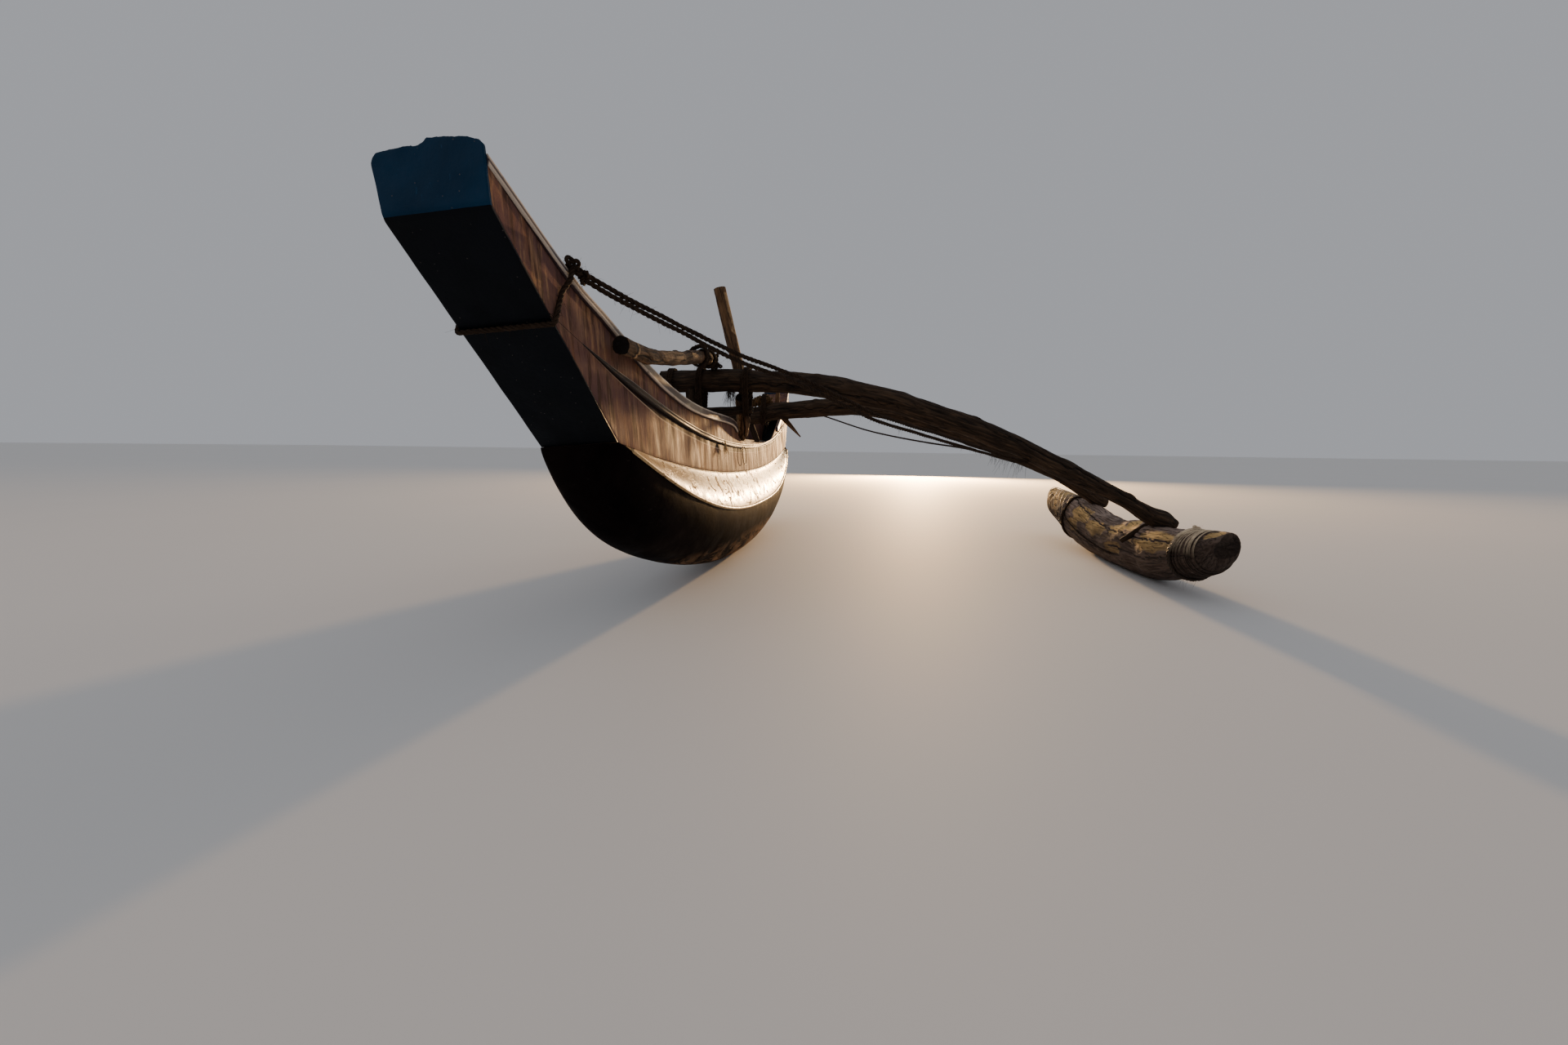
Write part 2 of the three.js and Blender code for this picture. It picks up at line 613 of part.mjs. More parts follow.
function addOutrigger() {
  const near = boom(BOOM_NEAR, BOOM_NEAR_X);
  const far = boom(BOOM_FAR, BOOM_FAR_X);
  const nearSeat = boom(BOOM_NEAR, BOOM_NEAR_X, GAP);
  const farSeat = boom(BOOM_FAR, BOOM_FAR_X, GAP);
  const onHull = SIDES.map(([, side]) => wallSeat(side));

  add(canoe, 'boom_near', near, darkWood);
  add(canoe, 'boom_far', far, darkWood);
  const bar = cut(log(alongY(CROSS_BAR, BOOM_NEAR_X), 10, 12), ...onHull);
  add(canoe, 'cross_bar', bar, darkWood);
  const barSeat = log(grown(alongY(CROSS_BAR, BOOM_NEAR_X)), 10, 12);
  add(canoe, 'packing_block', cut(log(PACKING, 10, 4), nearSeat, barSeat), darkWood);
  add(canoe, 'splintered_post', cut(log(SPLINTERED_POST, 10, 12), nearSeat, ...onHull), darkWood);
  for (const [side] of SIDES) {
    add(canoe, `far_post_${side}`, cut(log(FAR_POSTS[side], 10, 6), farSeat, ...onHull), darkWood);
  }
  add(canoe, 'pole', cut(log(POLE, 10, 10), nearSeat), darkWood);
  add(canoe, 'rope_bundle', cut(log(ROPE_BUNDLE, 10, 6), farSeat), coir);
  add(canoe, 'upright_peg', cut(log(UPRIGHT_PEG, 8, 4), farSeat), darkWood);
  add(canoe, 'toggle_peg', cut(log(TOGGLE, 8, 4), farSeat), darkWood);
  const crooked = cut(log(CROOKED_LOG, 10, 24), nearSeat, wallSeat(1, GUNWALE.out + GAP));
  add(canoe, 'crooked_log', crooked, darkWood);

  const pegSeat = log(grown(FLOAT_PEG), 8, 4);
  // what each lashing binds, a hair larger than it is
  const bound = {
    near: [nearSeat, barSeat],
    far: [farSeat, log(grown(ROPE_BUNDLE), 10, 6)],
    log: [log(grown(CROOKED_LOG), 10, 24)],
    float: [floatLog()],
  };
  const grooves = LASHINGS.filter(([, what]) => what === 'float')
    .map(([, what, axis, middle, count]) => turns(axis, middle, count, bound[what], 2 * GAP));
  add(canoe, 'float_log', cut(floatLog(), nearSeat, farSeat, pegSeat, ...grooves), greyWood);
  add(canoe, 'float_peg', cut(log(FLOAT_PEG, 8, 4), nearSeat), darkWood);
  for (const [name, what, axis, middle, count] of LASHINGS) {
    const tight = turns(axis, middle, count, bound[what]);
    add(canoe, `lashing_${name}`, what === 'float' ? tight : cut(tight, ...bound[what]), coir);
  }
}

// Loop of rope round a stem, from the raked face up over the gunwales, and its knot
function stemLoop() {
  const face = 2750;
  const off = ROPE / 2 + 2 * GAP;
  const low = new THREE.Vector3(face + off * Math.sin(RAKE), 0, rakeZ(face) - off * Math.cos(RAKE));
  const top = new THREE.Vector3(2640, 0, sheerZ(2640) + 1.3 * off);
  const [inner, outer] = [STEM_HALF + off, STEM_HALF + GUNWALE.out + off];
  const half = [
    // y, share of the way from the raked face to the top
    [0, 0], [inner - 10, 0], [inner - 2, 0], [inner, 0.03], [inner, 0.56], [outer - 6, 0.68], [outer, 0.76],
    [outer, 0.96], [outer - 5, 0.99], [outer - 16, 1], [0, 1],
  ];
  const turn = (side) => half.map(([y, k]) => low.clone().lerp(top, k).setY(side * y));
  const path = [...turn(1), ...turn(-1).slice(1, -1).reverse()];
  const normal = top.clone().sub(low).cross(new THREE.Vector3(0, 1, 0)).normalize();
  const knot = new THREE.IcosahedronGeometry(15, 1).translate(...KNOT);
  return fused(ring(path, ROPE, normal), knot);
}

// Both stays, each with the loop that makes it fast round its stem
function addStays() {
  const strand = (off) => rope(STAY_NEAR.map(([x, y, z], i) => {
    const apart = STAY_ROPE * (0.45 + 0.35 * Math.sin((Math.PI * i) / (STAY_NEAR.length - 1)));
    return [x, y, z + off * apart];
  }), STAY_ROPE, 20);
  const loop = stemLoop();
  const fast = (geometry) => geometry.clone().applyMatrix4(hull.matrix);
  const near = [strand(1), strand(-1)].map((piece) => cut(piece, boom(BOOM_NEAR, BOOM_NEAR_X, GAP)));
  const far = cut(rope(STAY_FAR, ROPE, 18), boom(BOOM_FAR, BOOM_FAR_X, GAP));
  add(canoe, 'stay_near', fused(fast(loop), ...near), coir);
  add(canoe, 'stay_far', fused(fast(mirroredX(loop)), far), coir);
}

// Stands the heeled hull on the ground
function settle() {
  hull.position.z = -new THREE.Box3().setFromObject(hull, true).min.z;
  hull.updateMatrix();
}

// Puts the origin under the middle of the whole canoe, on the ground
function centre() {
  const box = new THREE.Box3().setFromObject(canoe, true);
  const middle = box.getCenter(new THREE.Vector3());
  canoe.position.set(-middle.x, -middle.y, -box.min.z);
}

settle();
addOutrigger();
addStays();
centre();

export default canoe;
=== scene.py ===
import math
import random

import bpy
import numpy as np
from mathutils import Matrix, Vector


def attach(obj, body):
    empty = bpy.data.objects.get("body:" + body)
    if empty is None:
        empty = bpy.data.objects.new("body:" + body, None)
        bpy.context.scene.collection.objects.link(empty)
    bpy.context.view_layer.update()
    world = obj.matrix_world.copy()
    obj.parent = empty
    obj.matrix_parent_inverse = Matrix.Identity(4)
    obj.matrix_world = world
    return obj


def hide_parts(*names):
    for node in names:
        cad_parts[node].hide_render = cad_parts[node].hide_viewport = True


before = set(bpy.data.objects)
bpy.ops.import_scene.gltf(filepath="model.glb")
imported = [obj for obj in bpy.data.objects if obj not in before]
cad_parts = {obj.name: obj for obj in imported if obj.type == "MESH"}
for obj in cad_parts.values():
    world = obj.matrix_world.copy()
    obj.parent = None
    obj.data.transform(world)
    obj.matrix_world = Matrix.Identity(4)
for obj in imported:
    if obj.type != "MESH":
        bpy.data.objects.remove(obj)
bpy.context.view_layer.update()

# Sizes and tables are in millimetres, X along the hull, Y towards the float, Z up, with the origin on
# the ground under the keel. Meshes are made in metres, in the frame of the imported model.
KEEL_Y = -1238.43
HEEL = 0.0756
STEM_X, KNUCKLE_Z, HEAD_TOP = 3000, 1297, 1442
KNEE_X, KNEE_Z = 2372, 752
STEM_HALF, TRUNK_HALF, BEAM_HALF = 139.5, 151.5, 240.5
BASE_Z, BEAD_Z = 576, 345
SKIN, GAP = 9, 0.3
GUNWALE_OUT, GUNWALE_HIGH = (18, 5), (50, 30)  # amidships and by the stem heads
RAKE = math.atan2(KNUCKLE_Z - KNEE_Z, STEM_X - KNEE_X)
SHELL_END = 0.97 * KNEE_X
WALL_END = STEM_X - SKIN - GAP
RAILS = {"near": (380, WALL_END), "far": (-WALL_END, -1700)}
SIDES = (("right", 1), ("left", -1))
ENDS = (("near", 1), ("far", -1))
ROPE, STAY_ROPE = 16, 17
FLOOR = 0.0002  # metres; no point lies lower
EVEN = (1, 1, 1)
# The dark value also paints shade on end faces; the pale value, in marks along lit sides, also paints highlight.
BARE, DARK = 1, -1  # wear attribute of bare wood and of cracks

SHEER = [
    (-3000, 1420), (-2930, 1386), (-2830, 1337), (-2707, 1277), (-2582, 1224), (-2400, 1175),
    (-2000, 1052), (-1700, 950), (-1300, 830), (-900, 790), (-400, 782), (0, 782), (230, 792),
    (330, 855), (430, 908), (600, 930), (1100, 942), (1534, 972), (1970, 1050), (2223, 1119),
    (2400, 1175), (2582, 1224), (2707, 1277), (2830, 1337), (2930, 1386), (3000, 1420),
]
HEAD_EDGE = [  # y, z from the top of the head
    (-146, -7), (-136, 3), (-112, 6), (-69, 10), (-29, 8), (-18, 12), (-4, 22), (17, 21), (58, 18),
    (99, 13), (118, 5), (130, 3), (139.5, -8),
]
HEAD_BULGE = [(KNUCKLE_Z, 0), (1382, 7.5), (1423, 12.5), (1435, 6.5)]  # z, how far the left edge stands out
BOOM_NEAR_X, BOOM_FAR_X = 626, -445
BOOM_NEAR = [  # y, z, radius
    (-330, 1152, 64), (-50, 1160, 67), (134, 1161, 67), (383, 1150, 64), (609, 1133, 68),
    (783, 1105, 68), (965, 1066, 68), (1160, 1020, 66), (1306, 972, 64), (1560, 888, 60),
    (1700, 832, 60), (1850, 772, 56), (2020, 686, 56), (2150, 622, 54), (2330, 537, 45),
    (2485, 456, 42), (2600, 386, 52), (2680, 355, 54), (2745, 325, 30),
]
BOOM_FAR = [
    (-260, 990, 60), (78, 1001, 67), (228, 1036, 67), (392, 1048, 66), (534, 1060, 67),
    (640, 1070, 68), (998, 1068, 67), (1300, 1004, 64), (1600, 902, 62), (1900, 790, 58),
    (2200, 674, 56), (2330, 616, 54), (2448, 554, 50), (2602, 457, 50), (2700, 390, 48),
    (2768, 362, 30),
]
CROSS_BAR = [(-330, 949, 30), (-219, 952, 36), (-60, 962, 31), (83, 968, 29), (165, 976, 27), (245, 981, 25)]
PACKING = [(-135, 975, 42), (-135, 1030, 40), (-135, 1105, 44)]
CROOKED_LOG = [  # x, y, z, radius
    (2426, 125, 1076, 31), (2289, 116, 1083, 30), (2146, 107, 1087, 29), (2035, 91, 1098, 29),
    (1905, 72, 1113, 30), (1526, 44, 1164, 32), (1133, 15, 1227, 36), (848, -4, 1270, 40),
    (600, -17, 1278, 36),
]
POLE = [
    (524, 13, 1735, 38), (524, 60, 1540, 38), (524, 112, 1340, 36), (524, 154, 1170, 36),
    (524, 172, 1090, 33),
]
SPLINTERED_POST = [
    (190, 96, 797, 14), (215, 102, 830, 29), (300, 124, 890, 40), (420, 146, 962, 42),
    (540, 160, 1030, 37), (580, 163, 1062, 33),
]
FAR_POST_RIGHT = [(-470, 92, 790, 20), (-464, 72, 850, 24), (-450, 34, 945, 26)]
FAR_POST_LEFT = [(-445, -206, 769, 20), (-445, -205, 850, 25), (-445, -203, 960, 26)]
ROPE_BUNDLE = [(-440, 36, 1088, 28), (-440, 90, 1111, 42), (-440, 150, 1121, 40), (-440, 208, 1121, 26)]
UPRIGHT_PEG = [(-445, 250, 1085, 17), (-445, 253, 1140, 17), (-445, 257, 1190, 15)]
TOGGLE = [(-470, 272, 1015, 24), (-462, 340, 945, 18), (-450, 439, 839, 5)]
FLOAT_PEG = [(562, 2672, 356, 16), (530, 2590, 283, 17), (497, 2508, 210, 14)]
FLOAT_Y = 2670
FLOAT = [  # x, top, foot, half width
    (-1425, 414, 268, 30), (-1380, 426, 212, 56), (-1250, 420, 182, 86), (-1000, 405, 135, 110),
    (-745, 388, 72, 124), (-500, 366, 24, 130), (-150, 318, 0, 132), (100, 298, 0, 132), (220, 306, 0, 132),
    (340, 327, 0, 132), (600, 325, 6, 131), (800, 334, 40, 127), (1000, 346, 92, 118), (1150, 362, 142, 97),
    (1250, 376, 190, 74), (1300, 376, 236, 50),
]
STAY_NEAR = [
    (2630, 82, 1250), (2545, 161, 1206), (2357, 333, 1128), (2201, 475, 1067), (1997, 661, 1013),
    (1774, 865, 932), (1653, 975, 888), (1301, 1295, 813), (1023, 1549, 752), (720, 1824, 691),
    (640, 1897, 684),
]
STAY_FAR = [
    (-2630, 82, 1250), (-2300, 340, 1150), (-2079, 550, 1080), (-1641, 966, 933),
    (-1337, 1256, 860), (-1052, 1527, 806), (-808, 1759, 766), (-470, 2082, 680),
]


def heeled(points, angle=HEEL):
    """Points turned about the keel line, by the hull's heel or back."""
    x, y, z = np.moveaxis(np.asarray(points, float), -1, 0)
    c, s = math.cos(angle), math.sin(angle)
    return np.stack([x, c * y - s * z, s * y + c * z], -1)


def ground(points):
    return (np.asarray(points, float) + (0, KEEL_Y, 0)) / 1000


def on_hull(points):
    return ground(heeled(points))


def add_camera():
    yaw, pitch, roll = -0.1232, 0.121, 0.0126
    focal, wide = 747, 1920  # in pixels of the photo
    forward = np.array([-math.cos(yaw) * math.cos(pitch), math.sin(yaw) * math.cos(pitch), -math.sin(pitch)])
    right = np.array([math.sin(yaw), math.cos(yaw), 0])
    up = np.cross(right, forward)
    c, s = math.cos(roll), math.sin(roll)
    columns = np.stack([c * right + s * up, -s * right + c * up, -forward], 1)
    data = bpy.data.cameras.new("camera")
    data.sensor_width = 36
    data.lens = focal * data.sensor_width / wide
    data.clip_end = 400
    camera = bpy.data.objects.new("camera", data)
    bpy.context.scene.collection.objects.link(camera)
    place = Matrix.Translation((4.4085, 0.9189 + KEEL_Y / 1000, 0.7466))
    camera.matrix_world = place @ Matrix(columns.tolist()).to_4x4()
    bpy.context.scene.camera = camera


# Noise from hashed lattice points, so that each run gives the same values

def lattice(i, seed):
    h = (i[..., 0] * 374761393 + i[..., 1] * 668265263 + i[..., 2] * 1274126177 + seed * 97531) & 0xFFFFFFFF
    h = ((h ^ (h >> 13)) * 1274126177) & 0xFFFFFFFF
    return ((h ^ (h >> 16)) & 0xFFFF) / 32767.5 - 1


def noise(p, seed=0):
    i = np.floor(p).astype(np.int64)
    f = p - i
    f = f * f * (3 - 2 * f)
    total = 0
    for corner in np.ndindex(2, 2, 2):
        weight = np.where(corner, f, 1 - f).prod(-1)
        total = total + weight * lattice(i + corner, seed)
    return total


def fractal(p, octaves=3, seed=0):
    return sum(noise(p * 2.03 ** k, seed + 17 * k) * 0.5 ** k for k in range(octaves))


def ridged(p, seed=0):
    return sum((1 - 2 * abs(noise(p * 2.1 ** k, seed + 31 * k))) * 0.5 ** k for k in range(2))


# Meshes

def grid(*parts):
    """Points from coordinates that broadcast together."""
    return np.stack(np.broadcast_arrays(*parts), -1).astype(float)


def circle(sides):
    return 2 * math.pi * np.arange(sides) / sides


def wrapped(angle):
    """An angle between -pi and pi."""
    return np.angle(np.exp(1j * angle))


def lengths(path):
    """Distance along a path to each of its points."""
    return np.concatenate([[0], np.cumsum(np.linalg.norm(np.diff(path, axis=0), axis=1))])


def mesh_object(name, verts, faces, material, grain=None, wear_and_painted_light=None, sharp=50):
    """faces is a list of index arrays, each (n, 3) or (n, 4)."""
    verts = np.asarray(verts, float)
    volume = 0
    for f in faces:
        a, b, c, d = verts[f[:, 0]], verts[f[:, 1]], verts[f[:, 2]], verts[f[:, -1]]
        volume += (a * np.cross(b, c)).sum() + (a * np.cross(c, d)).sum()
    faces = [f if volume > 0 else f[:, ::-1] for f in faces]
    data = bpy.data.meshes.new(name)
    data.from_pydata(verts.tolist(), [], [row for f in faces for row in f.tolist()])
    data.update()
    data.shade_smooth()
    data.set_sharp_from_angle(angle=math.radians(sharp))
    for key, kind, field, values in (("grain", "FLOAT_VECTOR", "vector", grain), ("wear_and_painted_light", "FLOAT", "value", wear_and_painted_light)):
        if values is not None:
            data.attributes.new(key, kind, "POINT").data.foreach_set(field, np.asarray(values, float).ravel())
    data.materials.append(material)
    piece = bpy.data.objects.new(name, data)
    bpy.context.scene.collection.objects.link(piece)
    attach(piece, "root")
    return piece


def tube_faces(rings, sides, closed=False):
    i, j = np.meshgrid(np.arange(rings if closed else rings - 1), np.arange(sides), indexing="ij")
    a, b = i * sides + j, i * sides + (j + 1) % sides
    return np.stack([a, b, (b + sides) % (rings * sides), (a + sides) % (rings * sides)], -1).reshape(-1, 4)


def fan(centre, ring, flip=False):
    nxt = np.roll(ring, -1)
    return np.stack([np.full_like(ring, centre), *((nxt, ring) if flip else (ring, nxt))], -1)


def closed(rings):
    """Vertices and faces of a closed solid through rings of points, with a point amid each end."""
    count, sides = rings.shape[:2]
    verts = np.concatenate([rings.reshape(-1, 3), [rings[0].mean(0), rings[-1].mean(0)]])
    first = np.arange(sides)
    ends = fan(count * sides, first, True), fan(count * sides + 1, first + (count - 1) * sides)
    return verts, [tube_faces(count, sides), *ends]


def vertex_values(piece, field):
    out = np.zeros(len(piece.data.vertices) * 3)
    piece.data.vertices.foreach_get(field, out)
    return out.reshape(-1, 3)


def displace(piece, size, amount, seed, stretch=EVEN):
    """Moves a piece's vertices along their normals by noise. Its size and amount are in millimetres."""
    points = vertex_values(piece, "co")
    out = amount / 1000 * fractal(points * np.array(stretch) * 1000 / size, 3, seed)
    points = points + vertex_values(piece, "normal") * out[:, None]
    points[:, 2] = np.maximum(points[:, 2], FLOOR)
    piece.data.vertices.foreach_set("co", points.ravel())
    piece.data.update()


def rounded(corners, radius, cuts, corner_steps=3):
    """Polygon with rounded corners and its edges cut, as an array of points. cuts counts each edge's pieces."""
    corners = np.asarray(corners, float)
    out = []
    for k, corner in enumerate(corners):
        legs = [corners[k - 1] - corner, corners[(k + 1) % len(corners)] - corner]
        sizes = [np.linalg.norm(leg) for leg in legs]
        r = min(radius, 0.45 * min(sizes))
        start, end = (corner + leg / size * r for leg, size in zip(legs, sizes))
        for t in np.linspace(0, 1, corner_steps + 1):
            out.append((1 - t) ** 2 * start + 2 * t * (1 - t) * corner + t * t * end)
        ahead = corner + legs[1] * (1 - min(radius, 0.45 * sizes[1]) / sizes[1])
        out += [end + (ahead - end) * t for t in np.linspace(0, 1, cuts[k] + 1)[1:-1]]
    return np.array(out)


def loft(name, node, rings, material, bumps=None, wear_and_painted_light=None, grain=None):
    """Closed solid on the hull in place of a node. bumps are the numbers for displace."""
    verts, faces = closed(np.asarray(rings, float))
    if wear_and_painted_light is not None:
        wear_and_painted_light = np.append(wear_and_painted_light, (0, 0))
    piece = mesh_object(name, on_hull(verts), faces, material, grain, wear_and_painted_light)
    if bumps:
        displace(piece, *bumps)
    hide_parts(node)


# Lines of the hull

def along(table, x, column=1):
    """Smooth value of a table's column at x."""
    known, values = np.asarray(table, float)[:, [0, column]].T
    n = len(known)
    low, high = np.maximum(np.arange(n) - 1, 0), np.minimum(np.arange(n) + 1, n - 1)
    slope = (values[high] - values[low]) / (known[high] - known[low])
    i = np.clip(np.searchsorted(known, x, side="right") - 1, 0, n - 2)
    span = known[i + 1] - known[i]
    t = (x - known[i]) / span
    return (
        (2 * t ** 3 - 3 * t ** 2 + 1) * values[i] + (t ** 3 - 2 * t ** 2 + t) * span * slope[i]
        + (3 * t ** 2 - 2 * t ** 3) * values[i + 1] + (t ** 3 - t ** 2) * span * slope[i + 1]
    )


def share(x):
    return np.minimum(abs(x) / KNEE_X, 1)


def wall_y(x):
    return STEM_HALF + (TRUNK_HALF - STEM_HALF) * (1 - share(x) ** 2)


def base_z(x):
    return BASE_Z + (KNEE_Z - BASE_Z) * share(x) ** 2.2


def bead_y(x):
    return STEM_HALF + (BEAM_HALF - STEM_HALF) * (1 - share(x) ** 2) ** 0.535


def bead_z(x):
    return BEAD_Z + (KNEE_Z - BEAD_Z) * share(x) ** 2.63


def keel_z(x):
    return 440 * share(x) ** 2.1 + 230 * share(x) ** 24


def rub_z(x):
    return 748 + 260 * (abs(x) / 2400) ** 2.2


def sheer_z(x):
    return float(along(SHEER, x))


def rake_z(x):
    return KNEE_Z + (abs(x) - KNEE_X) * math.tan(RAKE)


def rake_x(z):
    return KNEE_X + (z - KNEE_Z) / math.tan(RAKE)


def wave(x, z, side):
    """How far the hand-laid walls wander from true, fading out at the stems."""
    fade = min(1, max(0, (2700 - abs(x)) / 400))
    at = np.array([x / 420, z / 300, 9.5 * side])
    return 1.6 * fade * float(noise(at, 3) + 0.5 * noise(at * 2.3, 4))


# Materials

class Paint:
    """Wires one material's nodes, layer on layer."""

    def __init__(self, name, roughness=0.5, specular=0.5, grain=False):
        self.material = bpy.data.materials.new(name)
        self.material.use_nodes = True
        self.nodes, self.links = self.material.node_tree.nodes, self.material.node_tree.links
        self.shader = self.nodes["Principled BSDF"]
        self.shader.inputs["Roughness"].default_value = roughness
        self.shader.inputs["Specular IOR Level"].default_value = specular
        self.place = self.attribute("grain", "Vector") if grain else self.node("TexCoord", "Object")
        self.colour = self.normal = None

    def link(self, socket, value):
        if isinstance(value, bpy.types.NodeSocket):
            self.links.new(value, socket)
        else:
            socket.default_value = value

    def node(self, kind, output, **inputs):
        node = self.nodes.new("ShaderNode" + kind)
        for name, value in inputs.items():
            self.link(node.inputs[name], value)
        return node.outputs[output]

    def attribute(self, name, output="Fac"):
        node = self.nodes.new("ShaderNodeAttribute")
        node.attribute_name = name
        return node.outputs[output]

    def moved(self, stretch, seed):
        shift = seed, 1.7 * seed, 0.3 * seed
        return self.node("Mapping", "Vector", Scale=stretch, Location=shift, Vector=self.place)

    def noise(self, scale, stretch, detail, roughness, distortion, seed):
        return self.node(
            "TexNoise", "Fac", Vector=self.moved(stretch, seed), Scale=scale, Detail=detail, Roughness=roughness,
            Distortion=distortion)

    def cells(self, scale, seed):
        return self.node("TexVoronoi", "Distance", Vector=self.moved(EVEN, seed), Scale=scale)

    def height(self):
        return self.node("SeparateXYZ", "Z", Vector=self.place)

    def steps(self, value, *stops):
        """Colour or grey ramp through stops (position, colour)."""
        node = self.nodes.new("ShaderNodeValToRGB")
        elements = node.color_ramp.elements
        while len(elements) < len(stops):
            elements.new(0.5)
        for element, (position, colour) in zip(elements, stops):
            element.position = position
            element.color = (*colour, 1) if isinstance(colour, tuple) else (colour, colour, colour, 1)
        self.link(node.inputs["Fac"], value)
        return node.outputs["Color"]

    def mix(self, factor, a, b):
        node = self.nodes.new("ShaderNodeMix")
        node.data_type = "RGBA"
        self.link(node.inputs["Factor"], factor)
        for socket, value in zip((s for s in node.inputs if s.type == "RGBA"), (a, b)):
            self.link(socket, (*value, 1) if isinstance(value, tuple) else value)
        return next(s for s in node.outputs if s.type == "RGBA")

    def math(self, operation, a, b):
        node = self.nodes.new("ShaderNodeMath")
        node.operation = operation
        self.link(node.inputs[0], a)
        self.link(node.inputs[1], b)
        return node.outputs[0]

    def base(self, value, *stops):
        self.colour = self.steps(value, *stops)

    def cover(self, colour, share):
        self.colour = self.mix(share, self.colour, colour)

    def spread(self, *rows):
        """Covers with one colour after another: colour, its noise's start and full place, strength, the noise."""
        for colour, start, full, strength, *pattern in rows:
            self.cover(colour, self.steps(self.noise(*pattern), (start, 0), (full, strength)))

    def dent(self, height, distance):
        inputs = {"Normal": self.normal} if self.normal else {}
        self.normal = self.node("Bump", "Normal", Strength=1.0, Distance=distance, Height=height, **inputs)

    def finish(self, rough=None, dull=None):
        """Ends the material. rough is a value and the roughness where it is 0.3 and 0.7, dull a share of 0.9."""
        self.link(self.shader.inputs["Base Color"], self.colour)
        if rough:
            value, low, high = rough
            value = self.steps(value, (0.3, low), (0.7, high))
            self.link(self.shader.inputs["Roughness"], self.mix(dull, value, (0.9, 0.9, 0.9)) if dull else value)
        if self.normal:
            self.link(self.shader.inputs["Normal"], self.normal)
        return self.material


def scaled(colour, by):
    return tuple(by * v for v in colour)


def wall_paint():
    """Streaked wall, with a painted shadow band under the rub rail and a painted highlight line below that. Its wear
    attribute is the height about the rub rail, 0.5 at the rail and 1 for 0.2 m.
    """
    p = Paint("wall_paint", specular=0.02)
    p.base(p.noise(2.6, (1, 1, 1.4), 5, 0.6, 0.6, 1),
           (0.3, (0.085, 0.046, 0.052)), (0.5, (0.16, 0.082, 0.068)), (0.72, (0.25, 0.125, 0.075)))
    p.spread(
        ((0.24, 0.10, 0.036), 0.52, 0.68, 0.7, 8, (1.2, 1, 0.35), 4, 0.6, 0.4, 9),
        ((0.46, 0.26, 0.13), 0.53, 0.66, 0.6, 30, (1.1, 1, 0.15), 4, 0.66, 0.1, 5),
        ((0.050, 0.028, 0.020), 0.52, 0.62, 0.7, 27, (1.1, 1, 0.16), 5, 0.68, 0.1, 2),
        ((0.10, 0.062, 0.045), 0.54, 0.68, 0.5, 5.5, (1, 1, 0.8), 5, 0.65, 1.2, 8),
    )
    p.cover((0.05, 0.035, 0.03), p.steps(p.cells(70, 3), (0.03, 0.7), (0.09, 0)))
    rail = p.attribute("wear_and_painted_light")
    # Painted shadow: near-black band from about 44 mm below the rub rail's middle to 24 mm above it, the rail's cast
    # shadow on the wall.
    p.cover((0.012, 0.008, 0.009), p.steps(rail, (0.28, 0), (0.295, 0.95), (0.46, 0.95), (0.62, 0)))
    # Painted highlight: pale line about 45 mm below the rub rail's middle, standing for the lit lower edge of the
    # moulding.
    p.cover((0.50, 0.36, 0.24), p.steps(rail, (0.245, 0), (0.258, 0.85), (0.275, 0.85), (0.29, 0)))
    p.dent(p.noise(40, (1.6, 1, 0.06), 4, 0.7, 0, 6), 0.0016)
    p.dent(p.noise(240, EVEN, 2, 0.6, 0, 7), 0.0004)
    return p.finish((p.noise(9, (1.6, 1, 0.4), 4, 0.6, 0, 4), 0.5, 0.8))


def stem_paint(name, dark, light, seed):
    p = Paint(name, specular=0.10)
    p.base(p.noise(5, EVEN, 5, 0.6, 0.5, seed), (0.3, dark), (0.7, light))
    p.spread((tuple(2.2 * v + 0.004 for v in light), 0.62, 0.72, 0.5, 22, (1, 1.4, 0.5), 6, 0.75, 1.5, seed + 1))
    p.cover((0.12, 0.10, 0.09), p.steps(p.cells(38, seed + 2), (0.035, 0.6), (0.08, 0)))
    p.dent(p.noise(60, EVEN, 4, 0.65, 0, seed + 4), 0.0009)
    return p.finish((p.noise(12, EVEN, 4, 0.6, 0, seed + 3), 0.34, 0.62))


def hull_paint():
    """Dark paint, scuffed through by the ground."""
    p = Paint("hull_paint", specular=0.006)
    p.base(p.noise(3.2, (0.7, 1, 1), 5, 0.6, 0.8, 21),
           (0.3, (0.0022, 0.0014, 0.0018)), (0.7, (0.010, 0.0062, 0.0056)))
    scuff = p.steps(p.noise(8, (0.45, 1, 1.3), 7, 0.72, 1.6, 22), (0.47, 0), (0.56, 1))
    low = p.steps(p.height(), (0.0, 1), (0.10, 0.9), (0.22, 0.0))
    p.cover((0.30, 0.17, 0.09), p.math("MULTIPLY", scuff, low))
    p.spread(((0.045, 0.034, 0.03), 0.67, 0.71, 0.3, 60, (0.25, 1, 2.6), 3, 0.6, 0.6, 23))
    p.dent(p.noise(34, (0.6, 1, 1), 5, 0.65, 0, 25), 0.0014)
    return p.finish((p.noise(10, EVEN, 4, 0.6, 0, 24), 0.38, 0.65))


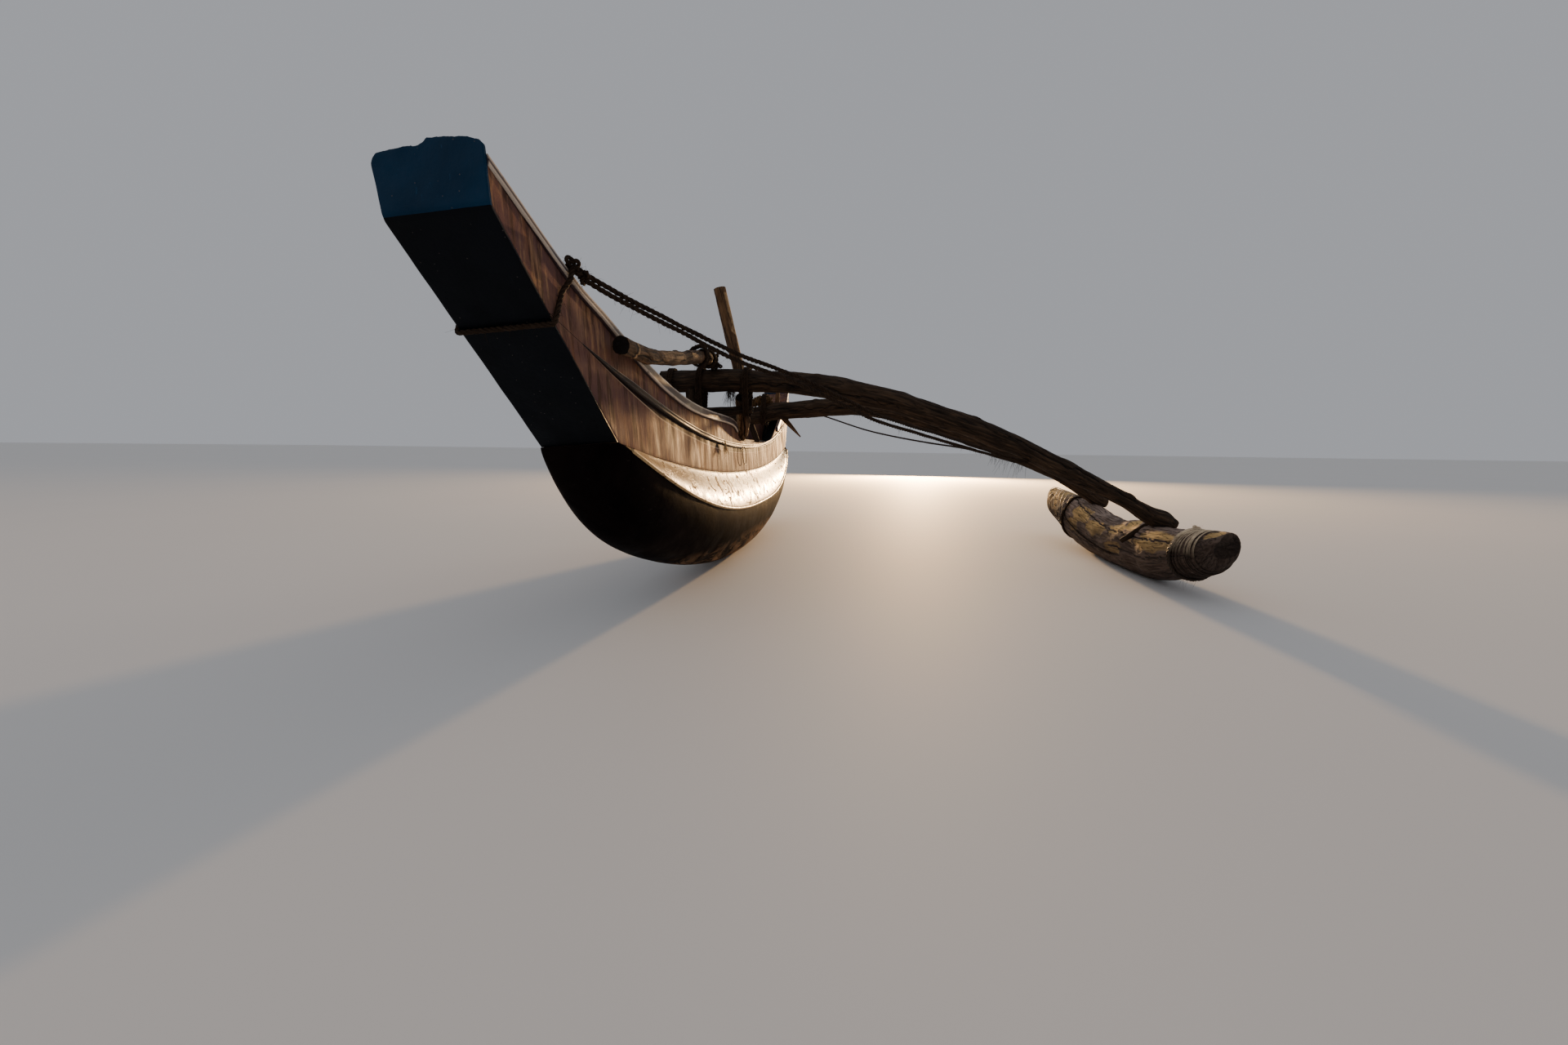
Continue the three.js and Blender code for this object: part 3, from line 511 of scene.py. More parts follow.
def pale_paint():
    """Glossy cream paint, dull where it is marked."""
    p = Paint("pale_paint", specular=0.12)
    p.base(p.noise(3.4, EVEN, 4, 0.6, 0.5, 31), (0.3, (0.44, 0.28, 0.12)), (0.7, (0.66, 0.47, 0.25)))
    scuff = p.steps(p.noise(9, (0.8, 1.3, 1.3), 7, 0.76, 1.4, 32), (0.54, 0), (0.61, 0.9))
    dots = p.steps(p.cells(15, 33), (0.10, 1), (0.17, 0))
    scratch = p.steps(p.noise(46, (2.2, 1.0, 0.5), 3, 0.6, 0.8, 34), (0.58, 0), (0.64, 0.8))
    p.cover((0.20, 0.105, 0.045), scuff)
    p.cover((0.06, 0.028, 0.012), dots)
    p.cover((0.22, 0.12, 0.055), scratch)
    marks = p.math("MAXIMUM", p.math("MAXIMUM", scuff, dots), scratch)
    p.dent(p.noise(30, EVEN, 4, 0.6, 0, 36), 0.0011)
    p.dent(marks, 0.0006)
    return p.finish((p.noise(14, EVEN, 4, 0.6, 0, 35), 0.22, 0.46), marks)


def bark(name, dark, middle, light, seed, patches=0.6, depth=0.005, bare=None, shade_below=None):
    """Weathered round timber with its wear attribute between BARE and DARK, which also carries painted shade on end
    faces and painted highlight on lit sides.

    Where its last argument gives two heights in metres, it darkens from the upper to the lower: painted shade near
    the ground.
    """
    p = Paint(name, specular=0.25, grain=True)
    bare = bare or light
    worn = p.attribute("wear_and_painted_light")
    fibre = p.noise(70, (0.10, 1, 1), 5, 0.68, 0.4, seed)
    patch = p.noise(6.5, (0.45, 1, 1), 5, 0.62, 0.9, seed + 1)
    mottle = p.noise(26, (0.45, 1, 1), 6, 0.75, 0.8, seed + 6)
    crack = p.noise(34, (0.085, 1, 1), 3, 0.5, 0.8, seed + 2)
    p.base(fibre, (0.32, dark), (0.52, middle), (0.72, light))
    p.cover(light, p.steps(patch, (0.50, 0), (0.64, patches)))
    grain = p.steps(p.noise(44, (0.12, 1, 1), 5, 0.7, 0.6, seed + 5), (0.3, scaled(bare, 0.5)), (0.65, bare))
    ragged = p.math("ADD", worn, p.math("MULTIPLY", p.math("SUBTRACT", mottle, 0.5), 1.8))
    ragged = p.steps(ragged, (0.2, 0), (0.75, 1))
    # Pale bare grain where the attribute is positive: worn bare wood, and marks laid along lit sides as painted
    # highlight.
    p.cover(grain, p.math("MULTIPLY", ragged, p.steps(worn, (0.02, 0), (0.3, 1))))
    if shade_below:
        # Painted shade: darker towards the ground.
        edge = p.math("ADD", p.height(), p.math("MULTIPLY", p.math("SUBTRACT", patch, 0.5), 0.25))
        p.cover(dark, p.steps(edge, (shade_below[0], 0.75), (shade_below[1], 0)))
    # Darker where the attribute is negative: cracks, and end faces painted dark as shade.
    p.cover(scaled(dark, 0.3), p.math("MULTIPLY", worn, -1.0))
    p.cover(scaled(dark, 0.35), p.math("MULTIPLY", p.steps(crack, (0.475, 0), (0.5, 1), (0.525, 0)), 0.85))
    p.dent(fibre, depth * 0.45)
    p.dent(p.steps(crack, (0.46, 1), (0.5, 0), (0.54, 1)), depth * 0.5)
    p.dent(p.noise(160, (0.6, 1, 1), 3, 0.6, 0, seed + 3), depth * 0.14)
    return p.finish((fibre, 0.95, 0.7))


def coir(name, dark, light, seed):
    p = Paint(name, specular=0.2, grain=True)
    fibre = p.noise(320, (0.12, 1, 1), 3, 0.6, 0.5, seed)
    p.base(fibre, (0.3, dark), (0.72, light))
    p.spread((light, 0.4, 0.75, 0.45, 14, EVEN, 3, 0.6, 0, seed + 1))
    p.dent(fibre, 0.0012)
    return p.finish((fibre, 1.0, 0.75))


def line_fibre():
    """Thin pale line on the float, painted dark underneath as shade."""
    p = Paint("thin_line", specular=0.3)
    tint = p.noise(30, EVEN, 4, 0.7, 0.5, 79)
    p.base(tint, (0.3, (0.012, 0.007, 0.004)), (0.7, (0.05, 0.03, 0.018)))
    pale_top = p.steps(tint, (0.3, (0.34, 0.25, 0.16)), (0.6, (0.84, 0.68, 0.47)))
    # Painted shade: the line stays dark below about 0.23 m and turns pale only over the float's top, by 0.33 m.
    p.cover(pale_top, p.steps(p.height(), (0.23, 0), (0.33, 1)))
    return p.finish((tint, 0.35, 0.8))


def plank():
    """Sawn board of grey wood."""
    p = Paint("plank", grain=True)
    fibre = p.noise(60, (0.07, 1, 1), 5, 0.65, 0.6, 61)
    p.base(fibre, (0.3, (0.075, 0.055, 0.04)), (0.55, (0.17, 0.13, 0.10)), (0.75, (0.27, 0.22, 0.17)))
    p.spread(((0.06, 0.042, 0.03), 0.5, 0.7, 0.6, 9, EVEN, 5, 0.65, 0.8, 62))
    p.dent(fibre, 0.0015)
    return p.finish((fibre, 0.9, 0.7))


def rail_paint(name, dark, light, seed):
    """Dark paint with a painted highlight: pale along the edges that the wear attribute marks, broken up by noise."""
    p = Paint(name, specular=0.2)
    blotch = p.noise(14, (0.5, 1, 1), 5, 0.65, 0.5, seed)
    p.base(blotch, (0.3, dark), (0.7, light))
    highlight_breaks = p.steps(p.noise(30, (0.4, 1, 1), 5, 0.7, 0, seed + 1), (0.30, 0), (0.46, 1))
    # Painted highlight: pale along the marked edges, broken by noise.
    p.cover((0.56, 0.47, 0.38), p.math("MULTIPLY", p.attribute("wear_and_painted_light"), highlight_breaks))
    p.dent(p.noise(50, (0.5, 1, 1), 4, 0.6, 0, seed + 2), 0.001)
    return p.finish((blotch, 0.35, 0.6))


WALL = wall_paint()
# The rub rail's near-black paint stands in for its shaded groove and underside: painted shade. Its pale upper edge is
# a painted highlight.
RUB = rail_paint("rub_paint", (0.008, 0.006, 0.008), (0.022, 0.018, 0.020), 91)
# The gunwale rail's pale edges are a painted highlight.
RAIL = rail_paint("gunwale_paint", (0.022, 0.014, 0.020), (0.070, 0.045, 0.048), 95)
# The raked face uses the head's navy paint made near-black: painted shade, since the raked face looks down.
STEM_SHADED = stem_paint("stem_paint", (0.0009, 0.0014, 0.0028), (0.0020, 0.0032, 0.0058), 11)
HEAD = stem_paint("head_paint", (0.0016, 0.018, 0.043), (0.0030, 0.031, 0.072), 16)
HULL = hull_paint()
PALE = pale_paint()
BOOM_WOOD = bark("boom_wood", (0.010, 0.0055, 0.003), (0.034, 0.019, 0.010), (0.095, 0.052, 0.025), 41, 0.35)
LOG_WOOD = bark(
    "log_wood", (0.020, 0.010, 0.005), (0.085, 0.043, 0.019), (0.24, 0.125, 0.055), 45, bare=(0.50, 0.30, 0.14))
# The float is darkened between 0.13 m and 0.02 m above the ground: painted shade.
FLOAT_WOOD = bark(
    "float_wood", (0.040, 0.024, 0.017), (0.23, 0.16, 0.125), (0.46, 0.34, 0.27), 49, depth=0.006,
    bare=(0.95, 0.62, 0.25), shade_below=(0.02, 0.13))
PLANK = plank()
COIR = coir("coir", (0.007, 0.004, 0.0025), (0.045, 0.024, 0.012), 71)
COIR_WARM = coir("coir_warm", (0.02, 0.011, 0.005), (0.20, 0.115, 0.05), 73)
COIR_PALE = coir("coir_pale", (0.22, 0.14, 0.06), (0.78, 0.56, 0.28), 75)
LINE = line_fibre()


# Hull

def ring_at(x, points, side=1):
    """A ring at x from points (y, z) of one side."""
    return grid(x, side * points[:, 0], points[:, 1])


def shoulder_frame(x):
    """Section of the shoulder: outer points at bead and base, the way between them, and the inner points."""
    bead, base = np.array([bead_y(x), bead_z(x)]), np.array([wall_y(x), base_z(x)])
    run = (base - bead) / np.linalg.norm(base - bead)
    inward = np.array([-run[1], run[0]])
    offset = SKIN / (1 - inward[0]) * (inward + (-1, 0))
    return bead, base, run, bead + offset, base + offset


def bottom_ring(x):
    bead, _, _, inner, _ = shoulder_frame(x)
    depth = bead[1] - keel_z(x)
    angle = np.linspace(0, math.pi, 57)
    out = grid(bead[0] * np.cos(angle), bead[1] - depth * np.sin(angle))
    back = grid(inner[0] * np.cos(angle), inner[1] + (bead[1] - inner[1] - depth + SKIN) * np.sin(angle))
    return ring_at(x, np.concatenate([out, back[::-1]]))


def shoulder_ring(x, side):
    bead, base, run, bead_in, base_in = shoulder_frame(x)
    corners = [bead + run * GAP, bead_in + run * GAP, base_in - run * GAP, base - run * GAP]
    ring = rounded(corners, 0.8, [1, 14, 1, 20], 1)
    t = np.clip(((ring - bead) @ run) / np.linalg.norm(base - bead), 0, 1)
    bulge = min(1, (1 - share(x)) * 5) * (9 * np.sin(math.pi * t ** 0.75) - 5 * np.sin(math.pi * t ** 3))
    return ring_at(x, ring + bulge[:, None] * (run[1], -run[0]), side)


def bead_ring(x, side):
    bead, _, run, _, _ = shoulder_frame(x)
    out = np.array([1 + run[1], -run[0]])
    out /= np.linalg.norm(out)
    angle = np.linspace(-math.pi / 2, math.pi / 2, 11)
    o, q = GAP + 9 * np.cos(angle), 9 * np.sin(angle)
    return ring_at(x, grid(bead[0] + out[0] * o - out[1] * q, bead[1] + out[1] * o + out[0] * q), side)


RUB_PROFILE = [  # out, up, how pale its painted highlight is: a thin upper edge, a groove and a fuller lower bead
    (GAP, 15, 0), (7, 15, 0.9), (9.5, 13.5, 0.9), (10, 11, 0), (8.5, 7, 0), (5, 4, 0), (4.5, 1, 0), (6.5, -2, 0),
    (11, -4, 0), (14, -6.5, 0), (14, -10, 0), (11, -14, 0), (GAP, -15, 0),
]


def rub_ring(x, side):
    y, z = wall_y(x), rub_z(x)
    thin = min(1, max(0.12, (2600 - abs(x)) / 400))
    return [(x, side * (y + wave(x, z, side) + GAP + out * thin), z + up * thin) for out, up, _ in RUB_PROFILE]


# Painted highlight along the rail's upper edge, from the profile's third column.
def rub_edge_highlight(rings):
    return np.tile([worn for _, _, worn in RUB_PROFILE], len(rings))


def wall_ring(x, side):
    foot = max(base_z(x) + GAP, rake_z(x) + (SKIN + GAP) / math.cos(RAKE))
    inside = foot + (6 if abs(x) < SHELL_END else 0)
    y, top = wall_y(x), sheer_z(x)
    ring = rounded([(y, foot), (y, top), (y - SKIN, top), (y - SKIN, inside)], 3, [26, 1, 18, 1], 2)
    ring[:, 0] += [wave(x, z, side) for z in ring[:, 1]]
    return ring_at(x, ring, side)


def rub_shade_height(rings):
    """See wall_paint: the height about the rub rail that places the painted shadow band and highlight line. A wall's
    inner side has none.
    """
    x, y, z = np.moveaxis(rings, -1, 0)
    up = (z - rub_z(x)) / np.clip((2600 - abs(x)) / 700, 0.05, 1)
    return np.where(abs(y) > wall_y(x) - SKIN / 2, 0.5 + up / 200, 0)


def gunwale_ring(x, side):
    def size(sizes, start, end):
        return sizes[0] + (sizes[1] - sizes[0]) * min(1, max(0, (abs(x) - start) / (end - start)))

    y, out, top = wall_y(x) + GAP, size(GUNWALE_OUT, 2600, 3000) - GAP, sheer_z(x)
    foot = top - size(GUNWALE_HIGH, 1900, 2500)
    ring = rounded([(y, foot), (y + out, foot + 4), (y + out, top - 3), (y, top)], 4.5, [3, 6, 3, 2])
    ring[:, 0] += wave(x, top - 24, side)
    return ring_at(x, ring, side)


def gunwale_edge_highlight(rings):
    """1 along a rail's two outer edges, where a pale highlight is painted."""
    y, z = abs(rings[..., 1]), rings[..., 2]
    outer = y > y.max(1, keepdims=True) - 5
    edge = np.minimum(z.max(1, keepdims=True) - z, z - z.min(1, keepdims=True))
    return outer * np.clip((12 - edge) / 5, 0, 1)


def add_hull():
    shell = np.linspace(-SHELL_END, SHELL_END, 221)
    loft("hull_bottom", "hull_bottom_shell", [bottom_ring(x) for x in shell], HULL, (260, 1.2, 5))
    table = [
        # piece, node, ring, stations, wear, material, slot
        ("shoulder_panel", "shoulder", shoulder_ring, shell, None, PALE, "pale_paint"),
        ("bead_strip", "bead", bead_ring, shell, None, PALE, "pale_paint"),
        ("rub_strip", "rub_rail", rub_ring, np.linspace(-2570, 2570, 241), rub_edge_highlight, RUB, "stem_paint"),
        ("wall_panel", "trunk_wall", wall_ring, np.linspace(-WALL_END, WALL_END, 301), rub_shade_height, WALL, "wall_paint"),
    ]
    for end, span in RAILS.items():
        table.append((f"gunwale_rail_{end}", f"gunwale_{end}", gunwale_ring, np.linspace(*span, 150), gunwale_edge_highlight,
                      RAIL, "wall_paint"))
    for name, side in SIDES:
        for piece, node, ring, stations, wear_and_painted_light, material, slot in table:
            rings = np.array([ring(x, side) for x in stations])
            bumps = (60, 0.8, 8 + side) if ring is gunwale_ring else None
            loft(f"{piece}_{name}", f"{node}_{name}", rings, material, bumps, wear_and_painted_light and wear_and_painted_light(rings))


def forefoot_ring(x, end):
    angle = np.linspace(0, math.pi, 49)
    arc = grid(bead_y(x) * np.cos(angle), bead_z(x) - (bead_z(x) - keel_z(x)) * np.sin(angle))
    y, top = wall_y(x), base_z(x) - GAP
    return ring_at(end * x, np.concatenate([[(y, top)], arc, [(-y, top)]]))


def knuckle(x, z, distance):
    """A point drawn in from the sharp knuckle, which is rounded off to a distance of 15 along either plate."""
    soft = max(0, 15 - distance) ** 2 / 62
    return x - 0.91 * soft, z + 0.415 * soft


def plate_ring(z, end):
    """The raked stem plate at z."""
    back = SKIN / math.sin(RAKE)
    corners = [(STEM_HALF, 0), (-STEM_HALF, 0), (-STEM_HALF, -back), (STEM_HALF, -back)]
    ring = []
    for y, dx in rounded(corners, 3.5, [24, 1, 12, 1]):
        x, high = knuckle(rake_x(z) + dx, z, (KNUCKLE_Z - z) / math.sin(RAKE))
        ring.append((end * x, y, high))
    return ring


def head_ring(u, end):
    """Upright plate of a stem head at u, from -1 to 1 across it, its upper edge broken off raggedly."""
    edge, bulge = np.array(HEAD_EDGE).T, np.array(HEAD_BULGE).T
    worn, radius, foot = 1 if end > 0 else 0.4, 3.5, KNUCKLE_Z + GAP
    side = STEM_HALF * (1 - abs(u))
    high = np.interp(np.interp(u, (-1, 1), edge[0, [0, -1]]), *edge)
    chip = 1.3 * float(fractal(np.array([u * 16, 0, 3.7 * end]), 3, 40)) if side > 4 else 0
    top = HEAD_TOP + (high * worn if high > 0 else high) + chip
    corner = radius - math.sqrt(max(0, radius ** 2 - max(0, radius - side) ** 2))
    section = [(STEM_X, foot), (STEM_X, top), (STEM_X - SKIN, top - 2), (STEM_X - SKIN, foot)]
    section = rounded(section, 3.6, [18, 1, 12, 1])
    section[:4] = np.linspace((STEM_X, foot), section[4], 5)[:4]
    ring = []
    for x, z in section:
        out = np.interp(z, *bulge) * max(0, min(1, (-u - 0.55) / 0.45))
        x, high = knuckle(x - (corner if x > STEM_X - SKIN / 2 else 0), z, z - foot)
        ring.append((end * x, u * STEM_HALF - out, high))
    return ring


def deck_ring(x, end):
    reach, top = STEM_HALF - SKIN - GAP, sheer_z(x) - 14
    corners = [(reach, top), (-reach, top), (-reach, top - SKIN), (reach, top - SKIN)]
    return ring_at(end * x, rounded(corners, 1.5, [16, 1, 16, 1], 2))


def add_stems():
    steps = np.concatenate([np.linspace(0, 0.97, 60), np.linspace(0.975, 1, 9)])
    inset = np.array([0, 0.4, 1.2, 2.4, 4]) / STEM_HALF
    table = [
        # piece, node, ring, stations, material, slot, bumps
        ("forefoot_block", "forefoot", forefoot_ring, np.linspace(SHELL_END + GAP, 0.9995 * KNEE_X, 12),
         HULL, "hull_paint", None),
        ("stem_plate", "stem_face", plate_ring, KNEE_Z + GAP + (KNUCKLE_Z - KNEE_Z - GAP) * steps,
         STEM_SHADED, "stem_paint", (120, 1.0, 12)),
        ("head_plate", "stem_head", head_ring, [*(-1 + inset), *np.linspace(-0.96, 0.96, 117), *(1 - inset)[::-1]],
         HEAD, "stem_paint", (45, 0.5, 14)),
        ("deck_panel", "end_deck", deck_ring, np.linspace(2600, WALL_END, 24), WALL, "wall_paint", (150, 1.2, 15)),
    ]
    for name, end in ENDS:
        for piece, node, ring, stations, material, slot, bumps in table:
            rings = [ring(at, end) for at in stations]
            loft(f"{piece}_{name}", f"{node}_{name}", rings, material, bumps)


def board(name, node, half_at, middle, along_x, thick, foot, span):
    """Flat board along X or Y. half_at gives half its width at each place along it."""
    rings, grain = [], []
    for at in np.linspace(*span, 41):
        low, high, top = middle - half_at(at), middle + half_at(at), foot + thick
        section = rounded([(high, top), (low, top), (low, foot), (high, foot)], 3, [14, 1, 10, 1], 2)
        rings.append([(at, y, z) if along_x else (y, at, z) for y, z in section])
        grain += [(at, y, z) for y, z in section]
    grain = np.array([*grain, (span[0], 0, 0), (span[1], 0, 0)]) / 1000
    loft(name, node, rings, PLANK, (40, 0.9, 60, (0.3, 1, 1) if along_x else (1, 0.3, 1)), grain=grain)


def add_boards():
    half, thick, foot = 105, 24, 748
    for name, x in (("near", 1500), ("middle", 0), ("far", -1500)):
        fit = wall_y(abs(x) + half) - SKIN - 2
        board(f"thwart_board_{name}", f"thwart_{name}", lambda at: half, x, False, thick, foot, (-fit, fit))
    start, end, half_plank, pointed = -1750, 60, 62, 330
    board("stowed_plank", "stowed_board", lambda at: half_plank * min(1, 0.03 + (at - start) / pointed), 0, True, 40,
          foot + thick + GAP, (start, end))


# Timber

def spline(points, step):
    """Points a step apart along a centripetal Catmull-Rom curve. Its first three columns are the place."""
    p = np.asarray(points, float)
    p = np.concatenate([[2 * p[0] - p[1]], p, [2 * p[-1] - p[-2]]])
    knots = np.concatenate([[0], np.cumsum(np.linalg.norm(np.diff(p[:, :3], axis=0), axis=1) ** 0.5)])
    out = []
    for i in range(1, len(p) - 2):
        k = knots[i - 1:i + 3]
        for t in np.linspace(k[1], k[2], 60, endpoint=i == len(p) - 3):
            a = [((k[j + 1] - t) * p[i - 1 + j] + (t - k[j]) * p[i + j]) / (k[j + 1] - k[j]) for j in range(3)]
            b = [((k[j + 2] - t) * a[j] + (t - k[j]) * a[j + 1]) / (k[j + 2] - k[j]) for j in range(2)]
            out.append(((k[2] - t) * b[0] + (t - k[1]) * b[1]) / (k[2] - k[1]))
    return resampled(np.array(out), step)


def resampled(path, step, closed=False):
    """A path's points set a step apart."""
    if closed:
        path = np.concatenate([path, path[:1]])
    s = lengths(path[:, :3])
    at = np.linspace(0, s[-1], int(s[-1] / step) + 1)
    out = np.stack([np.interp(at, s, column) for column in path.T], -1)
    return out[:-1] if closed else out


def frames(path, closed=False):
    """Two normals at each point of a path, without twist."""
    run = np.roll(path, -1, 0) - np.roll(path, 1, 0) if closed else np.gradient(path, axis=0)
    run = run / np.linalg.norm(run, axis=1)[:, None]
    first = np.array([0, 0, 1.0]) if abs(run[0][2]) < 0.8 else np.array([1.0, 0, 0])
    n = first - run[0] * (first @ run[0])
    normals = []
    for t in run:
        n = n - t * (n @ t)
        n = n / np.linalg.norm(n)
        normals.append(n)
    return np.array(normals), np.cross(run, normals)


def rings_along(path, shape, angle, n, b):
    """Rings of points round a path, shape being their radius at each of its points and angles."""
    c, s = np.cos(angle)[:, None], np.sin(angle)[:, None]
    return path[:, None] + shape[..., None] * (c * n[:, None] + s * b[:, None])


def log_mesh(name, node, rings, around, wear_and_painted_light, cap, shares, cap_shade_and_wear, material, sharp, shift=0):
    """Log in place of a node, its ends closed by rings of end grain, cap(end, share), with wear of their own; a dark
    value there is painted shade on the end face.
    """
    ends, end_grain = ([[make(end, k) for k in shares] for end in (0, -1)]
                       for make in (cap, lambda end, k: around[end] * (1, k, k)))
    verts, faces = closed(np.concatenate([ends[0][::-1], rings, ends[1]]))
    grain, _ = closed(np.concatenate([end_grain[0][::-1], around, end_grain[1]]))
    first, last = (np.full(len(shares) * rings.shape[1], value) for value in cap_shade_and_wear)
    wear_and_painted_light = np.concatenate([first, wear_and_painted_light.ravel(), last, cap_shade_and_wear])
    piece = mesh_object(name, ground(verts), faces, material, grain / 1000 + (shift, 0, 0), wear_and_painted_light, sharp)
    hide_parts(node)
    return piece


def timber(name, node, rows, material=BOOM_WOOD, sides=56, step=9, ridge=2.2, lump=3, seed=0, knots=(), cracks=(),
           marks=(), side=0):
    """Round timber along rows (x, y, z, radius), and cut to sit on the trunk wall of a side.

    knots are (share, angle, height, size), cracks (from, to, angle, depth), marks (from, to, angle, half turn, wear).
    A pale mark laid along a lit side is a painted highlight.
    """
    path = spline(rows, step)
    centre, radius = path[:, :3], path[:, 3:]
    s = lengths(centre)[:, None]
    long = s[-1, 0]
    angle = circle(sides)
    around = grid(s, radius * np.cos(angle), radius * np.sin(angle))
    out = lump * fractal(around / (160, 70, 70), 2, seed)
    out = out + ridge * (ridged(around / (110, 13, 13), seed + 5) - 0.5)
    for at, turn, high, wide in knots:
        apart = np.hypot((s - at * long) / wide, radius * wrapped(angle - turn) / wide)
        out = out + high * np.exp(-apart ** 2 * 1.8) * (1 - 0.55 * np.exp(-(apart / 0.35) ** 2))
    wear_and_painted_light = np.zeros(out.shape)
    for low, high, turn, deep in cracks:
        near = radius * wrapped(angle - turn - 0.25 * noise(grid(s / 60, 0, seed), 9))
        ends = np.clip(np.minimum(s / long - low, high - s / long) * 12, 0, 1)
        groove = ends * np.exp(-(near / 3.2) ** 2)
        out = out - deep * groove
        wear_and_painted_light = np.where(groove > 0.4, DARK, wear_and_painted_light)
    ragged = fractal(around / 45, 3, seed + 8)
    for low, high, turn, half, value in marks:
        inside = np.clip(np.minimum(s / long - low, high - s / long) * long / 5 + 0.5, 0, 1)
        inside = inside * np.clip((half * (1 + 0.5 * ragged) - abs(wrapped(angle - turn))) * 5, 0, 1)
        wear_and_painted_light = wear_and_painted_light + (value - wear_and_painted_light) * inside
        out = out + min(0, value) * inside * 1.5
    rings = rings_along(centre, radius + out, angle, *frames(centre))
    if side:
        rings = seated(rings, side)

    def cap(end, k):
        middle = rings[end].mean(0)
        rough = 1.6 * noise(grid(angle * 2.5, k * 7, seed + end), 2)
        outward = centre[-1] - centre[-3] if end else centre[0] - centre[2]
        outward = outward / np.linalg.norm(outward)
        return middle + (rings[end] - middle) * k + outward * (2.5 * (1 - k) + rough)[:, None]

    shares, slot = (0.93, 0.6, 0.3), "dark_wood"
    # Both end faces take the dark value: painted shade on end faces turned from the light.
    return log_mesh(name, node, rings, around, wear_and_painted_light, cap, shares, (DARK, DARK), material, 75, 0.37 * seed)


def seated(rings, side):
    """Keeps a timber's points off a trunk wall's upper edge, above it or outside it, whichever is nearer."""
    x, y, z = np.moveaxis(heeled(rings, -HEEL), -1, 0)
    top = along(SHEER, np.clip(x, -2990, 2990)) + 2 * GAP
    edge = STEM_HALF + GUNWALE_OUT[0] + 8
    hit = (side * y > 70) & (side * y < edge) & (z < top)
    outward = hit & (edge - side * y < top - z)
    return heeled(grid(x, np.where(outward, side * edge, y), np.where(hit & ~outward, top, z)))


def add_timbers():
    boom, peg = dict(sides=72, step=10, ridge=2.6, lump=4), dict(sides=32, step=5, ridge=1.2, lump=1.2)
    table = [
        # name, replaced node, rows, options
        ("near_boom_log", "boom_near", BOOM_NEAR, dict(
            boom, seed=1, cracks=[(0.05, 0.5, 2.0, 7), (0.3, 0.75, 4.2, 6), (0.6, 0.98, 1.2, 6)],
            knots=[(0.30, 0.6, 13, 34), (0.44, 1.9, 10, 30), (0.60, 0.2, 9, 26), (0.75, 2.4, 10, 28),
                   (0.905, 0.4, 12, 30)])),
        ("far_boom_log", "boom_far", BOOM_FAR, dict(
            boom, seed=2, knots=[(0.26, 0.4, 10, 30), (0.55, 1.2, 10, 32), (0.8, 5.5, 8, 28)],
            cracks=[(0.1, 0.6, 1.6, 6), (0.5, 0.95, 3.9, 6)])),
        ("crooked_pole", "crooked_log", CROOKED_LOG, dict(
            material=LOG_WOOD, sides=64, step=8, ridge=1.6, lump=3.5, seed=3, side=1,
            knots=[(0.25, 1.2, 7, 26), (0.46, 0.3, 7, 24), (0.60, 0.5, 10, 26), (0.71, 2.0, 12, 30),
                   (0.80, 0.6, 13, 28), (0.88, 1.9, 14, 26), (0.95, 0.3, 14, 26), (0.93, 4.0, 12, 24)],
            cracks=[(0.0, 0.35, 2.2, 5), (0.5, 0.9, 0.6, 4)],
            # The pale marks at angles 1.2 and 0.8 lie on the log's upper right side, on the light's side: painted
            # highlight laid as bare wood.
            marks=[(0.045, 0.057, 0, 9, DARK), (0.057, 0.066, 0, 9, BARE), (0.3, 0.52, 1.2, 0.8, 0.5),
                   (0.80, 0.97, 0.8, 0.9, 0.7)])),
        ("upright_pole", "pole", POLE, dict(
            material=LOG_WOOD, sides=48, step=8, ridge=1.3, lump=2.2, seed=4,
            knots=[(0.22, 4.0, 4, 18), (0.58, 1.0, 5, 18)], cracks=[(0.0, 0.5, 0.8, 4)],
            # This pale mark runs down the pole's right side, on the light's side: painted highlight laid as bare
            # wood.
            marks=[(0.05, 1.2, 4.7, 0.8, 0.8)])),
        ("split_post", "splintered_post", SPLINTERED_POST, dict(
            material=LOG_WOOD, sides=64, step=5, ridge=4.6, lump=5, seed=5, side=1,
            cracks=[(0.1, 1.0, 0.5, 14), (0.0, 0.9, 2.6, 12), (0.2, 1.0, 4.4, 13)],
            # Both pale marks lie on the post's right side, on the light's side: partly bare splintered wood and
            # partly painted highlight.
            marks=[(0.1, 1.2, 4.9, 0.9, BARE), (0.3, 0.8, 5.9, 0.3, 0.8)])),
        ("boom_post_right", "far_post_right", FAR_POST_RIGHT, dict(sides=40, step=6, seed=6, side=1)),
        ("boom_post_left", "far_post_left", FAR_POST_LEFT, dict(sides=40, step=6, seed=7, side=-1)),
        ("rest_bar", "cross_bar", CROSS_BAR, dict(
            sides=48, step=7, ridge=2, seed=8, knots=[(0.4, 1.0, 5, 20)], cracks=[(0.3, 1.0, 1.4, 5)])),
        ("boom_packing", "packing_block", PACKING, dict(sides=44, step=6, ridge=2.4, seed=9)),
        ("small_upright", "upright_peg", UPRIGHT_PEG, dict(peg, material=LOG_WOOD, seed=10)),
        ("tapered_peg", "toggle_peg", TOGGLE, dict(peg, material=LOG_WOOD, seed=11)),
        ("driven_peg", "float_peg", FLOAT_PEG, dict(peg, lump=1, seed=12)),
    ]
    made = {}
    for name, node, rows, options in table:
        x = BOOM_FAR_X if rows is BOOM_FAR else BOOM_NEAR_X
        rows = [row if len(row) == 4 else (x, *row) for row in rows]
        made[node] = timber(name, node, rows, **options)
    return made


